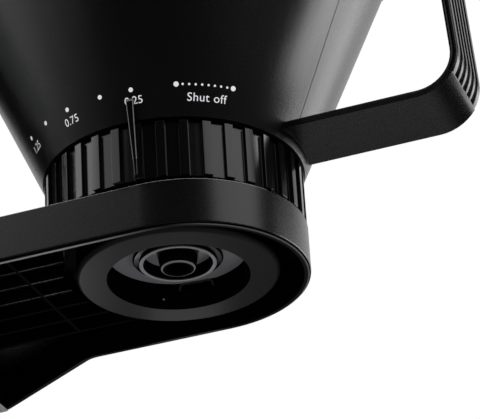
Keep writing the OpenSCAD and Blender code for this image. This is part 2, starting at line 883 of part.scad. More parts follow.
module tank_lid() {
    low = tank_top + run_gap;
    skin = 2.5;
    lip_gap = tank_wall + 2 * run_gap;
    lip_t = 2;
    lip_x = hinge_x + barrel_r + 2 * lip_t;
    pull_w = 32;
    color("#1c1c1e")
    difference() {
        union() {
            difference() {
                translate([0, 0, low]) linear_extrude(tank_top + lid_t - low)
                    polygon(rounded(
                        [[hinge_x, -tank_w / 2], [tank_x1, -tank_w / 2],
                         [tank_x1, tank_w / 2], [hinge_x, tank_w / 2]],
                        [0, tank_corner, tank_corner, 0]));
                translate([0, 0, low - cut]) linear_extrude(tank_top + lid_t - skin - low + cut)
                    plan_block(hinge_x + barrel_r + lip_t, tank_x1 - tank_wall,
                               tank_w - 2 * tank_wall, tank_corner - tank_wall);
            }
            translate([0, 0, tank_top - barrel_r]) linear_extrude(barrel_r + lid_t - skin / 2) difference() {
                plan_block(lip_x, tank_x1 - lip_gap, tank_w - 2 * lip_gap, tank_corner - lip_gap);
                plan_block(lip_x + lip_t, tank_x1 - lip_gap - lip_t,
                           tank_w - 2 * lip_gap - 2 * lip_t, tank_corner - lip_gap - lip_t);
            }
            translate([hinge_x, -ear_y + run_gap, hinge_z]) rotate([-90, 0, 0])
                cylinder(r = barrel_r, h = 2 * (ear_y - run_gap));
            translate([tank_x1 - cut, -pull_w / 2, tank_top + 2 * cut])
                cube([barrel_r + cut, pull_w, lid_t - 2 * cut]);
        }
        for (s = [0, 1]) mirror([0, s, 0])
            translate([tank_x0 - cut, ear_y - run_gap, tank_top - cut])
                cube([hinge_x - tank_x0 + barrel_r + 2 * cut, ear_t + 2 * run_gap, lid_t + 2 * cut]);
        translate([hinge_x, -tank_w / 2, hinge_z]) rotate([-90, 0, 0])
            cylinder(r = lid_pin_r + pin_gap, h = tank_w);
    }
}

module lid_pin() {
    l = 2 * (ear_y + ear_t);
    color("#b9bcc0")
    translate([hinge_x, -l / 2, hinge_z]) rotate([-90, 0, 0]) cylinder(r = lid_pin_r, h = l);
}

module tank_fitting() {
    floor_top = deck_top + tank_wall;
    low = arm_z - wall;
    flange_t = 2;
    color("#3b3b3d")
    translate([inlet_pipe_x, inlet_pipe_y, 0])
    difference() {
        union() {
            translate([0, 0, low]) cylinder(r = fitting_r, h = floor_top + flange_t - low);
            translate([0, 0, floor_top]) cylinder(r = fitting_r + 2 * flange_t, h = flange_t);
        }
        translate([0, 0, low - cut]) cylinder(r = bore_r, h = floor_top + flange_t - low + 2 * cut);
    }
}

module tank_strainer() {
    low = deck_top + tank_wall + 2;
    h = 12;
    slots = 10;
    color("#d5d7d8")
    translate([inlet_pipe_x, inlet_pipe_y, low])
    difference() {
        cylinder(r = fitting_r + 2, h = h);
        translate([0, 0, -cut]) cylinder(r = fitting_r, h = h - 2 + cut);
        for (i = [0:slots - 1])
            rotate([0, 0, i * 360 / slots]) translate([fitting_r - cut, -0.8, 2]) cube([4, 1.6, h - 5]);
    }
}

// Hoses

module inlet_hose() {
    valve_top = valve_low + valve_h;
    color("#c8b9a2") {
        hose(bent_path([
            [heater_end[0], heater_end[1], tube_z],
            [inlet_pipe_x, inlet_pipe_y, tube_z],
            [inlet_pipe_x, inlet_pipe_y, valve_low]
        ], hose_bend), hose_r, bore_r);
        translate([inlet_pipe_x, inlet_pipe_y, valve_top]) tube(hose_r, bore_r, arm_z - wall - valve_top);
    }
}

module check_valve() {
    color("#e4e2da")
    translate([inlet_pipe_x, inlet_pipe_y, valve_low]) tube(fitting_r, bore_r, valve_h);
}

// The riser runs from the heater up the column, along the spout and down to the spray head
module riser_hose() {
    color("#c8b9a2")
    hose(bent_path([
        [heater_end[0], -heater_end[1], tube_z],
        [riser_pipe_x, riser_foot_y, tube_z],
        [riser_pipe_x, riser_foot_y, spout_pipe_z],
        [filter_x, 0, spout_pipe_z],
        [filter_x, 0, spray_low + spray_h / 2]
    ], hose_bend), hose_r, bore_r);
}

// Spout

module plan_spout(inset) {
    half = spout_w / 2 - inset;
    translate([filter_x, 0]) circle(r = half);
    polygon(rounded(
        [[riser_x0 + inset, -half], [filter_x, -half], [filter_x, half], [riser_x0 + inset, half]],
        [riser_corner - inset, 0, 0, riser_corner - inset]));
}

module riser_housing() {
    color("#1c1c1e")
    translate([0, 0, deck_top]) linear_extrude(spout_low - deck_top) difference() {
        plan_block(riser_x0, riser_x1, spout_w, riser_corner);
        plan_block(riser_x0 + wall, riser_x1 - wall, spout_w - 2 * wall, riser_corner - wall);
    }
}

module spout_housing() {
    color("#1c1c1e")
    difference() {
        translate([0, 0, spout_low]) linear_extrude(spout_h) plan_spout(0);
        translate([0, 0, spout_low + wall]) linear_extrude(spout_h) plan_spout(wall);
        translate([filter_x, 0, spout_low - cut]) cylinder(r = hose_r + 2 * run_gap, h = wall + 2 * cut);
        translate([riser_pipe_x, riser_foot_y, spout_low - cut])
            cylinder(r = hose_r + wall, h = wall + 2 * cut);
    }
}

module spout_cover() {
    tongue = 3;
    color("#1c1c1e") {
        translate([0, 0, spout_top]) linear_extrude(wall) plan_spout(0);
        translate([0, 0, spout_top - tongue]) linear_extrude(tongue + wall / 2) difference() {
            plan_spout(wall + fit_gap);
            plan_spout(2 * wall);
        }
    }
}

module spray_head() {
    holes = 8;
    jet_r = 1.2;
    color("#26272a")
    translate([filter_x, 0, spray_low])
    difference() {
        cylinder(r = spray_r, h = spray_h);
        translate([0, 0, wall]) cylinder(r = spray_r - 2 * wall, h = spray_h / 2 - wall);
        translate([0, 0, spray_h / 2 - cut]) cylinder(r = hose_r + fit_gap, h = spray_h);
        translate([0, 0, -cut]) cylinder(r = jet_r, h = wall + 2 * cut);
        for (i = [0:holes - 1])
            rotate([0, 0, i * 360 / holes]) translate([spray_r / 2, 0, -cut])
                cylinder(r = jet_r, h = wall + 2 * cut);
    }
}

// Filter holder, in heights above the arm's rim

// The outside of the cone, larger by gap
module cone_outside(gap) {
    rotate_extrude() polygon([
        [0, cone_low - cut],
        [cone_r + gap - cone_k * cut, cone_low - cut],
        [cone_top_r + gap, cone_top],
        [0, cone_top]
    ]);
}

lug_w = 8;
lug_r = spigot_r + 5.5;
lug_dir = pointer_dir + 90;

// Slots through the spigot where the shutter's two lugs swing
module lug_windows() {
    edge = asin(lug_w / 2 / spigot_in) + 2;
    for (a = [lug_dir, lug_dir + 180])
        rotate([0, 0, a - turn_open - edge])
            rotate_extrude(angle = turn_open + turn_closed + 2 * edge)
                translate([spigot_in - cut, shutter_low - run_gap])
                    square([spigot_r - spigot_in + 2 * cut, shutter_t + 2 * run_gap]);
}

module paper_rib() {
    rib_w = 1.6;
    proud = 1.4;
    z0 = cone_low + cone_floor;
    z1 = cone_top - 2 * rim_h;
    in0 = cone_r + cone_k * (z0 - cone_low) - cone_wall_x;
    in1 = cone_r + cone_k * (z1 - cone_low) - cone_wall_x;
    translate([0, rib_w / 2, 0]) rotate([90, 0, 0]) linear_extrude(rib_w) polygon([
        [in0 + proud / 2, z0 - cone_floor / 2], [in1 + proud / 2, z1],
        [in1 - proud, z1 - 2 * proud], [in0 - proud, z0 - cone_floor / 2]
    ]);
}

module filter_cone() {
    rim_z = cone_top - rim_h;
    in_low = cone_r + cone_k * cone_floor - cone_wall_x;
    sump_top = sump_low + floor_t;
    color("#1d1e20")
    on_filter()
    difference() {
        union() {
            rotate_extrude() polygon([
                [spigot_in, seat_top], [spigot_r, seat_top],
                [spigot_r, web_low - run_gap], [groove_r, web_low - run_gap],
                [groove_r, web_low + web_t + run_gap], [spigot_r, web_low + web_t + run_gap],
                [spigot_r, cone_low], [cone_r, cone_low],
                [cone_top_r - cone_k * rim_h, rim_z], [cone_top_r + rim_w, rim_z],
                [cone_top_r + rim_w, cone_top], [cone_top_r - cone_wall_x, cone_top],
                [in_low, cone_low + cone_floor], [sump_r, cone_low + cone_floor],
                [sump_r, sump_top], [drain_r, sump_top], [drain_r, sump_low], [spigot_in, sump_low]
            ]);
            for (i = [0:paper_ribs - 1])
                rotate([0, 0, (i + 0.5) * 360 / paper_ribs]) paper_rib();
        }
        lug_windows();
        for (z = [strap_low, strap_high - strap_t])
            translate([sump_r, -tab_w / 2 - fit_gap, z - fit_gap])
                cube([handle_reach - strap_bend - sump_r, tab_w + 2 * fit_gap, strap_t + 2 * fit_gap]);
    }
}

// Handle: a strap that leaves the cone near its foot and comes back under its rim

strap_low = cone_low + strap_rise;
strap_high = cone_top - rim_h - strap_rise;
strap_in = spigot_r;
pad_t = strap_t / 2;
pad_start = 34;

// The loop's side view, drawn in by t
module strap_side(t) {
    k = tan(grip_lean);
    side = t / cos(grip_lean);
    foot_x = handle_reach + strap_bend * (k + 1 / cos(grip_lean) - 1);
    low = strap_low + t;
    high = strap_high - t;
    r = strap_bend - t;
    polygon(rounded([
        [strap_in - t, low], [foot_x - t * k - side, low],
        [foot_x - (high - strap_low) * k - side, high], [strap_in - t, high]
    ], [0, r, r, 0], 12));
}

// The stretch of the loop that the grip pad covers, seen from the side
module pad_zone() {
    x = handle_reach - strap_bend;
    far = 3 * strap_bend;
    polygon([
        [x, strap_low + strap_bend],
        [x + far * cos(pad_start), strap_low + strap_bend - far * sin(pad_start)],
        [x + far * cos(pad_start), strap_high - strap_bend + far * sin(pad_start)],
        [x, strap_high - strap_bend]
    ]);
}

module slab(w) {
    rotate([90, 0, 0]) linear_extrude(w, center = true) children();
}

module handle_strap() {
    color("#1d1e20")
    on_filter() {
        difference() {
            slab(strap_w) difference() {
                strap_side(0);
                strap_side(strap_t);
            }
            slab(strap_w + cut) intersection() {
                difference() {
                    strap_side(-cut);
                    strap_side(pad_t);
                }
                pad_zone();
            }
            cone_outside(fit_gap);
        }
        intersection() {
            difference() {
                slab(tab_w) difference() {
                    strap_side(0);
                    strap_side(strap_t);
                }
                cone_outside(-cone_wall_x);
            }
            cone_outside(fit_gap + cut);
        }
    }
}

module grip_pad() {
    pitch = strap_w / (grip_grooves + 1);
    groove_w = pitch * 0.36;
    groove_d = pad_t * 0.65;
    color("#141415")
    on_filter()
    difference() {
        slab(strap_w) intersection() {
            difference() {
                strap_side(0);
                strap_side(pad_t);
            }
            pad_zone();
        }
        for (i = [1:grip_grooves])
            translate([0, i * pitch - strap_w / 2, 0]) slab(groove_w) difference() {
                strap_side(-cut);
                strap_side(groove_d);
            }
    }
}

// Outlet and flow valve

outlet_wall = 1.8;
cup_floor = dish_z + floor_t;
cup_r = spigot_in - fit_gap;
port_in = 8;
port_out = 19;
port_span = 50;
port_lap = 12;

// A port through a valve plate, from angle a over span
module port(a, span, low, h) {
    rotate([0, 0, a]) rotate_extrude(angle = span)
        translate([port_in, low - cut]) square([port_out - port_in, h + 2 * cut]);
}

module outlet_cup() {
    shoulder = seat_top + run_gap;
    low_r = seat_bore - run_gap;
    color("#0e0e0f")
    on_filter()
    difference() {
        union() {
            rotate_extrude() polygon([
                [nozzle_stem, dish_z], [outlet_r - outlet_wall, dish_z],
                [outlet_r - outlet_wall, outlet_low], [outlet_r, outlet_low],
                [outlet_r, dish_z], [low_r, dish_z],
                [low_r, shoulder], [cup_r, shoulder], [cup_r, cup_top], [0, cup_top],
                [0, cup_top - floor_t], [port_out, cup_top - floor_t], [port_out, cup_floor],
                [nozzle_stem, cup_floor]
            ]);
            translate([-key_w / 2, 0, dish_z])
                cube([key_w, seat_bore + key_d - run_gap, seat_top - dish_z]);
        }
        translate([0, 0, dish_z - cut]) cylinder(r = nozzle_stem, h = floor_t + 2 * cut);
        translate([0, 0, cup_floor]) cylinder(r = port_out, h = cup_top - floor_t - cup_floor);
        port(lug_dir, port_span, cup_top - floor_t, floor_t);
    }
}

nozzle_stem = nozzle_r + 1.4;

module drip_nozzle() {
    flange = 1.5;
    color("#141415")
    on_filter() rotate_extrude() polygon([
        [nozzle_bore, nozzle_low], [nozzle_r, nozzle_low], [nozzle_stem - fit_gap, dish_z - flange],
        [nozzle_stem - fit_gap, cup_floor], [nozzle_stem + flange, cup_floor],
        [nozzle_stem + flange, cup_floor + flange], [nozzle_bore, cup_floor + flange]
    ]);
}

module shutter_seal() {
    color("#8a4b3c")
    on_filter() translate([0, 0, sump_low - seal_t]) tube(sump_r, drain_r + seal_t, seal_t);
}

module shutter_disc() {
    disc_r = spigot_in - run_gap;
    color("#c3c5c6")
    on_filter()
    difference() {
        union() {
            translate([0, 0, shutter_low]) cylinder(r = disc_r, h = shutter_t);
            rotate([0, 0, lug_dir]) translate([-lug_r, -lug_w / 2, shutter_low])
                cube([2 * lug_r, lug_w, shutter_t]);
        }
        port(lug_dir + port_span - port_lap, turn_open + 2 * port_lap, shutter_low, shutter_t);
    }
}

module flow_ring() {
    post_w = 3.5;
    color("#161617")
    on_filter() {
        translate([0, 0, ring_low]) linear_extrude(ring_h) difference() {
            union() {
                circle(r = ring_root);
                for (i = [0:ring_ribs - 1])
                    rotate(pointer_dir + i * 360 / ring_ribs)
                        translate([ring_in + ring_wall / 2, -ring_rib_w / 2])
                            square([ring_r - ring_in - ring_wall / 2, ring_rib_w]);
            }
            circle(r = ring_in);
        }
        translate([0, 0, web_low]) tube(ring_in + ring_wall / 2, groove_r + run_gap, web_t);
        for (a = [lug_dir, lug_dir + 180], s = [0, 1])
            rotate([0, 0, a]) mirror([0, s, 0])
                translate([spigot_r + 1.5, lug_w / 2 + fit_gap, web_low + web_t / 2])
                    cube([lug_r - spigot_r - 1.5, post_w, shutter_low + shutter_t - web_low - web_t / 2]);
    }
}

// The pointer: a fin that follows the ring and then the cone, narrower towards its foot
module flow_pointer() {
    clear = 0.7;
    foot = 0.5;
    fin = 1.8;
    low = ring_low + foot;
    tip = ring_top + pointer_rise;
    tip_r = cone_r + cone_k * (tip - cone_low) + clear;
    color("#0c0c0d")
    on_filter() rotate([0, 0, pointer_dir]) translate([0, pointer_shift, 0]) intersection() {
        slab(pointer_w) polygon([
            [ring_r, low], [ring_r + foot + fin / 4, low],
            [ring_r + fin * 0.9, ring_low + ring_h / 3], [tip_r + fin, tip - foot],
            [tip_r + fin - foot, tip], [tip_r, tip],
            [cone_r + clear, ring_top + foot], [ring_r, ring_top - fin]
        ]);
        rotate([90, 0, 90]) linear_extrude(overall_l) polygon([
            [-pointer_foot_w / 2, low], [pointer_foot_w / 2, low],
            [pointer_w / 2, tip], [-pointer_w / 2, tip]
        ]);
    }
}

base_shell();
base_plate();
rubber_feet();
base_screws();
cord_gland();
warming_plate();
plate_gasket();
water_tube();
heating_rod();
heater_clamp();
clamp_bolt();
thermostat();
switch_body();
button_bezel();
power_button();
pilot_lamp();
column_shell();
rear_cover();
cover_screws();
arm_deck();
deck_underplate();
underplate_screws();
seat_ring();
seat_screws();
water_tank();
tank_strainer();
tank_fitting();
inlet_hose();
check_valve();
riser_hose();
riser_housing();
spout_housing();
spout_cover();
spray_head();
tank_lid();
lid_pin();
filter_cone();
handle_strap();
grip_pad();
outlet_cup();
drip_nozzle();
shutter_seal();
shutter_disc();
flow_ring();
flow_pointer();
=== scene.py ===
# %% [markdown]
# # A drip coffee maker, seen from below its filter
# The solids of this machine come from a CAD pack. This lesson dresses them: it rounds the
# edges that a mould would round, rebuilds the pieces that the eye rests on, prints the
# scale, mixes the plastics, and lights everything like a product shot. Every object is in
# metres and already in place, so nothing here is fitted by hand.

import json
from math import cos, degrees, pi, radians, sin, tan

import bmesh
import bpy
from mathutils import Matrix, Vector

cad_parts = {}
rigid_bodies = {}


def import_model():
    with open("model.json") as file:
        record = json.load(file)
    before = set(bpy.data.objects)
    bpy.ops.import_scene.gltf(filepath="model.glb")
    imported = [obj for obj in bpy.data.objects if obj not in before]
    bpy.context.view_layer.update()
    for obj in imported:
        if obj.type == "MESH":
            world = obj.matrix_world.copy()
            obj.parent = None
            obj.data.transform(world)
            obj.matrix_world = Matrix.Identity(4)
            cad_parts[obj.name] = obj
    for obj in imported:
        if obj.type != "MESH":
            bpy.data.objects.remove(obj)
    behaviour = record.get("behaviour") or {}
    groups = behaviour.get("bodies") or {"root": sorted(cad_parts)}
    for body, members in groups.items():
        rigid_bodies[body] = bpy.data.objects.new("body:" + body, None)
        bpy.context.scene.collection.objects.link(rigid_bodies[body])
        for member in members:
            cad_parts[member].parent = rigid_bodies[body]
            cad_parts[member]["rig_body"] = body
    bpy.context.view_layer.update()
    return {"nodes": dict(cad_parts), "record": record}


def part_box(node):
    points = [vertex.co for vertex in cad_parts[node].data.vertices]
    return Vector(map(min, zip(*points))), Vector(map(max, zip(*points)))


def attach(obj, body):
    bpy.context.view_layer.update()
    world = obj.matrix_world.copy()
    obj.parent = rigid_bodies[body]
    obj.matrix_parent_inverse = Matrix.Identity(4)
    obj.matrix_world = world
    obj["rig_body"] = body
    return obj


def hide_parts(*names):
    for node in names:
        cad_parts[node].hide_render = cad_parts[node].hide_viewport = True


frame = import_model()
nodes = frame["nodes"]
scene = bpy.context.scene

# %% [markdown]
# ## Places that everything shares
# The filter, its ring and its seat turn about one upright axis. Its place is read from the
# boxes of the solids, so the looks follow the CAD if a size changes there. Heights on that
# axis are counted from the lower rim of the arm, in millimetres, as a drawing would.

# %% Filter axis and helper lengths
MM = 0.001
UP = (0, 0, 1)
ring_low_corner, ring_high_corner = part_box("flow_ring")
arm_low_corner, arm_high_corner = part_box("arm_deck")
axis_x = (ring_low_corner.x + ring_high_corner.x) / 2
rim_z = arm_low_corner.z


def on_axis(r, turn, z):
    """A point at radius r and height z in mm, turned from +X about the filter axis."""
    a = radians(turn)
    return Vector((axis_x + r * MM * cos(a), r * MM * sin(a), rim_z + z * MM))


axis_foot = on_axis(0, 0, 0)
print("filter axis meets the arm's rim at", [round(c / MM, 2) for c in axis_foot], "mm")

# %% [markdown]
# ## The camera
# The picture is a close look from below, with a long lens, so the sides of the cone hardly
# converge. A camera can be aimed with a constraint, but here its three axes are written
# straight into its matrix: azimuth and elevation give the line of sight, roll turns the
# frame about it.

# %% Camera
AZIMUTH = radians(18.996)
ELEVATION = radians(-28.274)
ROLL = radians(-3.541)
EYE = Vector((254.51, -673.91, -361.44)) * MM
FILM_WIDE = 36
FOCAL_LENGTH = 185.594

backward = Vector((sin(AZIMUTH) * cos(ELEVATION), -cos(AZIMUTH) * cos(ELEVATION), sin(ELEVATION)))
sideways = Vector((cos(AZIMUTH), sin(AZIMUTH), 0))
upward = backward.cross(sideways)
right = cos(ROLL) * sideways + sin(ROLL) * upward
top = -sin(ROLL) * sideways + cos(ROLL) * upward

lens = bpy.data.cameras.new("eye")
lens.sensor_width = FILM_WIDE
lens.lens = FOCAL_LENGTH
lens.clip_start = 10 * MM
camera = bpy.data.objects.new("eye", lens)
scene.collection.objects.link(camera)
axes = Matrix((right, top, backward)).transposed().to_4x4()
camera.matrix_world = Matrix.Translation(axis_foot + EYE) @ axes
scene.camera = camera
print("camera stands at", [round(c / MM) for c in camera.matrix_world.translation], "mm")

# %% [markdown]
# ## Shader maths in plain sums
# A material is a tree of nodes, and adding each Math node by hand hides the idea. One small
# class wraps a socket and overloads the operators, so that `1 - mask` or `0.4 + 0.1 * grain`
# builds its nodes by itself. A second class holds one tree and adds any other node from its
# type, its settings and its sockets. A third one is a tree with the shader of a material.

# %% Sums of sockets


class Wire:
    """A node's output that can be added, subtracted and multiplied."""

    def __init__(self, tree, socket):
        self.tree = tree
        self.socket = socket

    def math(self, operation, a, b):
        node = self.tree.nodes.new("ShaderNodeMath")
        node.operation = operation
        for slot, value in zip(node.inputs, (a, b)):
            if isinstance(value, Wire):
                self.tree.links.new(value.socket, slot)
            else:
                slot.default_value = value
        return Wire(self.tree, node.outputs[0])

    def __add__(self, other):
        return self.math("ADD", self, other)

    __radd__ = __add__

    def __sub__(self, other):
        return self.math("SUBTRACT", self, other)

    def __rsub__(self, other):
        return self.math("SUBTRACT", other, self)

    def __mul__(self, other):
        return self.math("MULTIPLY", self, other)

    __rmul__ = __mul__

    def larger(self, other):
        return self.math("MAXIMUM", self, other)


print("sums of sockets ready")

# %% Trees of nodes


class Tree:
    """A node tree whose nodes come from one method."""

    def __init__(self, tree):
        self.tree = tree

    def node(self, kind, settings=None, sockets=None, out=0):
        node = self.tree.nodes.new(kind)
        for name, value in (settings or {}).items():
            setattr(node, name, value)
        for name, value in (sockets or {}).items():
            if isinstance(value, Wire):
                self.tree.links.new(value.socket, node.inputs[name])
            else:
                node.inputs[name].default_value = value
        return None if out is None else Wire(self.tree, node.outputs[out])

    def along(self, vector, axis):
        """The part of a vector that lies along an axis."""
        settings = {"operation": "DOT_PRODUCT"}
        return self.node("ShaderNodeVectorMath", settings, {0: vector, 1: axis}, "Value")

    def ease(self, value, start, full):
        """From 0 to 1, softly, as a value goes from start to full."""
        return self.node(
            "ShaderNodeMapRange", {"interpolation_type": "SMOOTHSTEP", "clamp": True},
            {"Value": value, "From Min": start, "From Max": full})


print("trees ready")

# %% Finishes


class Finish(Tree):
    """A material with one Principled shader, read in Object coordinates."""

    def __init__(self, name, **constants):
        self.material = bpy.data.materials.new(name)
        self.material.use_nodes = True
        super().__init__(self.material.node_tree)
        self.shader = self.tree.nodes["Principled BSDF"]
        for key, value in constants.items():
            self.shader.inputs[key.replace("_", " ")].default_value = value
        self.place = self.node("ShaderNodeTexCoord", out="Object")

    def feed(self, name, wire):
        self.tree.links.new(wire.socket, self.shader.inputs[name])

    def noise(self, scale, detail=2.0, stretch=None):
        place = self.place
        if stretch:
            place = self.node("ShaderNodeMapping", {}, {"Vector": place, "Scale": stretch})
        sockets = {"Vector": place, "Scale": scale, "Detail": detail}
        return self.node("ShaderNodeTexNoise", {}, sockets, "Fac")

    def tint(self, share, dark, light):
        sockets = {0: share, 6: (*dark, 1), 7: (*light, 1)}
        return self.node("ShaderNodeMix", {"data_type": "RGBA"}, sockets, 2)

    def blend(self, share, first, second):
        return self.node("ShaderNodeMixShader", {}, {0: share, 1: first, 2: second})

    def bump(self, height, strength, distance):
        sockets = {"Height": height, "Strength": strength, "Distance": distance}
        return self.node("ShaderNodeBump", {}, sockets)


print("finishes ready")

# %% [markdown]
# ## Moulded plastics
# Nearly everything in view is black plastic, and yet no two pieces look the same. A mould
# cut by spark erosion leaves a grain of a fraction of a millimetre, which breaks a highlight
# into tiny points; a polished mould leaves a deep gloss. So each plastic is one colour with
# a little cloudiness, a grain that is both bump and roughness, and its own gloss.

# %% How a plastic is made
CLOUD_SCALE, CLOUD_DETAIL = 38.0, 3.0
GRAIN_DETAIL, GRAIN_BUMP = 2.0, 0.5
GRAIN_SHARE, CLOUD_SHARE = 0.6, 0.4
BLUE_TRACE = 1.04


def plastic(name, dark, light, rough, grain_mm, grain_depth, spread=0.06, **constants):
    """Moulded plastic: cloudy colour, spark-eroded grain, roughness that varies with it."""
    finish = Finish(name, **constants)
    grain = finish.noise(1 / (grain_mm * MM), GRAIN_DETAIL)
    cloud = finish.noise(CLOUD_SCALE, CLOUD_DETAIL)
    finish.feed("Base Color", finish.tint(cloud, dark, light))
    mottle = GRAIN_SHARE * grain + CLOUD_SHARE * cloud
    finish.feed("Roughness", (rough - spread) + 2 * spread * mottle)
    finish.feed("Normal", finish.bump(grain, GRAIN_BUMP, grain_depth * MM))
    return finish.material


def grey(level):
    """A neutral grey with a trace of blue."""
    return (level, level, level * BLUE_TRACE)


print("a middle grey is", [round(c, 3) for c in grey(0.2)])

# %% Plastic finishes
# Each row: darker and lighter colour, roughness, grain and its depth in mm, spread of roughness.
PLASTICS = {
    "black_satin": (grey(0.0010), grey(0.0014), 0.29, 0.42, 0.095),
    "arm_black": (grey(0.0010), grey(0.0016), 0.27, 0.6, 0.016),
    "housing_black": (grey(0.020), grey(0.027), 0.36, 0.6, 0.040),
    "black_gloss": (grey(0.0014), grey(0.0022), 0.10, 2.0, 0.002, 0.03),
    "ring_black": (grey(0.0014), grey(0.0022), 0.17, 3.0, 0.002, 0.03),
    "grip_black": (grey(0.0020), grey(0.0030), 0.26, 0.5, 0.006),
    # Painted light: a painted reflection on the dish and a painted highlight on the arm's upper
    # edge.
    "sheen_grey": (grey(0.42), grey(0.50), 0.24, 1.2, 0.003, 0.03),
    # Painted highlights on the pointer's edges and tip.
    "pointer_highlight_grey": (grey(0.10), grey(0.13), 0.30, 0.6, 0.004),
    # Painted highlights on the lips of the tube and the nozzle, and a painted glint on the pip.
    "glint_grey": (grey(0.24), grey(0.30), 0.30, 0.6, 0.004),
    "dark_plastic": (grey(0.008), grey(0.012), 0.42, 0.5, 0.012),
    "cream_plastic": ((0.60, 0.58, 0.52), (0.68, 0.66, 0.60), 0.45, 0.6, 0.010),
    "rubber": (grey(0.008), grey(0.012), 0.66, 0.5, 0.030),
    "silicone": ((0.42, 0.37, 0.31), (0.50, 0.45, 0.38), 0.55, 0.8, 0.010),
    "lamp_lens": ((0.75, 0.44, 0.12), (0.85, 0.55, 0.18), 0.18, 1.5, 0.004, 0.03),
    "plate_coating": (grey(0.008), grey(0.015), 0.36, 0.25, 0.014),
    "print_white": (grey(0.90), grey(0.96), 0.50, 0.3, 0.002),
}
MATERIALS = {name: plastic(name, *recipe) for name, recipe in PLASTICS.items()}
MATERIALS["seat_grey"] = plastic(
    "seat_grey", grey(0.012), grey(0.016), 0.42, 0.5, 0.010, Specular_IOR_Level=0.12)
# Painted shade: a black that barely reflects, laid on bores, the inside of the arm and the lower
# rounding of its rim, so that they stay as dark as shade.
MATERIALS["shade_black"] = plastic(
    "shade_black", grey(0.0010), grey(0.0015), 0.62, 0.6, 0.010, Specular_IOR_Level=0.012)
print("plastics:", len(MATERIALS))

# %% [markdown]
# ## The painted rim highlight
# The lower rim of the arm shows a thin bright line, and here it is painted into the black as a
# pale line: on the flat of the rim along the near side, and on the rounding at the nose. A
# painted picture could show it. A finish that turns pale along one direction of the machine
# needs none, and lets the two lines fade into each other.

# %% Painted highlight finishes
FADE_GLOSS = 0.08
FADE_ROUGH, FADE_SPREAD = 0.35, 0.10
FADE_SPECKLE = 900.0


def worn(name, unlit_end, highlit_end, towards, start, full):
    """Black plastic with a painted highlight that turns it pale along a direction, between two
    distances from the origin.
    """
    finish = Finish(name, Specular_IOR_Level=FADE_GLOSS)
    share = finish.ease(finish.along(finish.place, towards), start, full)
    finish.feed("Base Color", finish.tint(share, unlit_end, highlit_end))
    finish.feed("Roughness", FADE_ROUGH + FADE_SPREAD * finish.noise(FADE_SPECKLE))
    return finish.material


# Painted highlights: the rim's flat turns pale towards the near left side, the nose's rounding
# towards its tip.
RIM_HIGHLIGHT = (-0.6, -0.8, 0), -14 * MM, 12 * MM
NOSE_HIGHLIGHT = (1, 0, 0), axis_x + 9 * MM, axis_x + 27 * MM
MATERIALS["rim_highlight_grey"] = worn("rim_highlight_grey", grey(0.003), grey(0.38), *RIM_HIGHLIGHT)
MATERIALS["nose_highlight_grey"] = worn("nose_highlight_grey", grey(0.002), grey(0.15), *NOSE_HIGHLIGHT)
print("plastics with the worn ones:", len(MATERIALS))

# %% [markdown]
# ## Metals and the smoked tank
# Rolled and brushed metal is streaked along one direction, so its noise is stretched before
# it drives roughness and a faint bump. The tank is clear plastic tinted grey: a refracting
# shader with a constant tint, and a waviness that injection moulding leaves in flat walls.

# %% Metal and clear finishes
STREAK_SCALE, STREAK_DETAIL = 60.0, 4.0
STREAK_SPREAD, STREAK_BUMP, STREAK_DEPTH = 0.06, 0.15, 0.02
WAVE_SCALE, WAVE_BUMP, WAVE_DEPTH = 22.0, 0.12, 0.3
CLEAR_IOR, CLEAR_ROUGH, CLEAR_SPREAD = 1.49, 0.03, 0.05


def metal(name, dark, light, rough, stretch):
    """Rolled metal: streaks that drive its colour, its roughness and a faint bump."""
    finish = Finish(name, Metallic=1.0)
    streak = finish.noise(STREAK_SCALE, STREAK_DETAIL, stretch)
    finish.feed("Base Color", finish.tint(streak, dark, light))
    finish.feed("Roughness", (rough - STREAK_SPREAD) + 2 * STREAK_SPREAD * streak)
    finish.feed("Normal", finish.bump(streak, STREAK_BUMP, STREAK_DEPTH * MM))
    return finish.material


def smoked(name, colour):
    """Clear plastic with a tint and slightly wavy walls."""
    finish = Finish(name, IOR=CLEAR_IOR, Transmission_Weight=1.0, Base_Color=(*colour, 1))
    wave = finish.noise(WAVE_SCALE)
    finish.feed("Roughness", CLEAR_ROUGH + CLEAR_SPREAD * wave)
    finish.feed("Normal", finish.bump(wave, WAVE_BUMP, WAVE_DEPTH * MM))
    return finish.material


METALS = {
    "satin_metal": (grey(0.70), grey(0.80), 0.40, (1.0, 12.0, 12.0)),
    "aluminium": (grey(0.56), grey(0.68), 0.36, (8.0, 8.0, 1.0)),
    "steel": (grey(0.36), grey(0.52), 0.32, (6.0, 6.0, 1.0)),
}
MATERIALS.update({name: metal(name, *recipe) for name, recipe in METALS.items()})
MATERIALS["tank_clear"] = smoked("tank_clear", (0.48, 0.485, 0.49))
print("materials:", sorted(MATERIALS))

# %% [markdown]
# ## From bmesh to a piece
# Each new piece ends the same way: its mesh is stored in place, edges that turn more than a
# limit stay sharp and the rest shade smoothly, it takes a material, the frame is told which
# body carries it, and the solid it stands for is hidden.

# %% Finishing a piece
SHARP = radians(32)


def keep_sharp(bm):
    """Shade all faces smoothly, but break the shading at sharp and open edges."""
    for face in bm.faces:
        face.smooth = True
    for edge in bm.edges:
        edge.smooth = len(edge.link_faces) == 2 and edge.calc_face_angle(pi) < SHARP


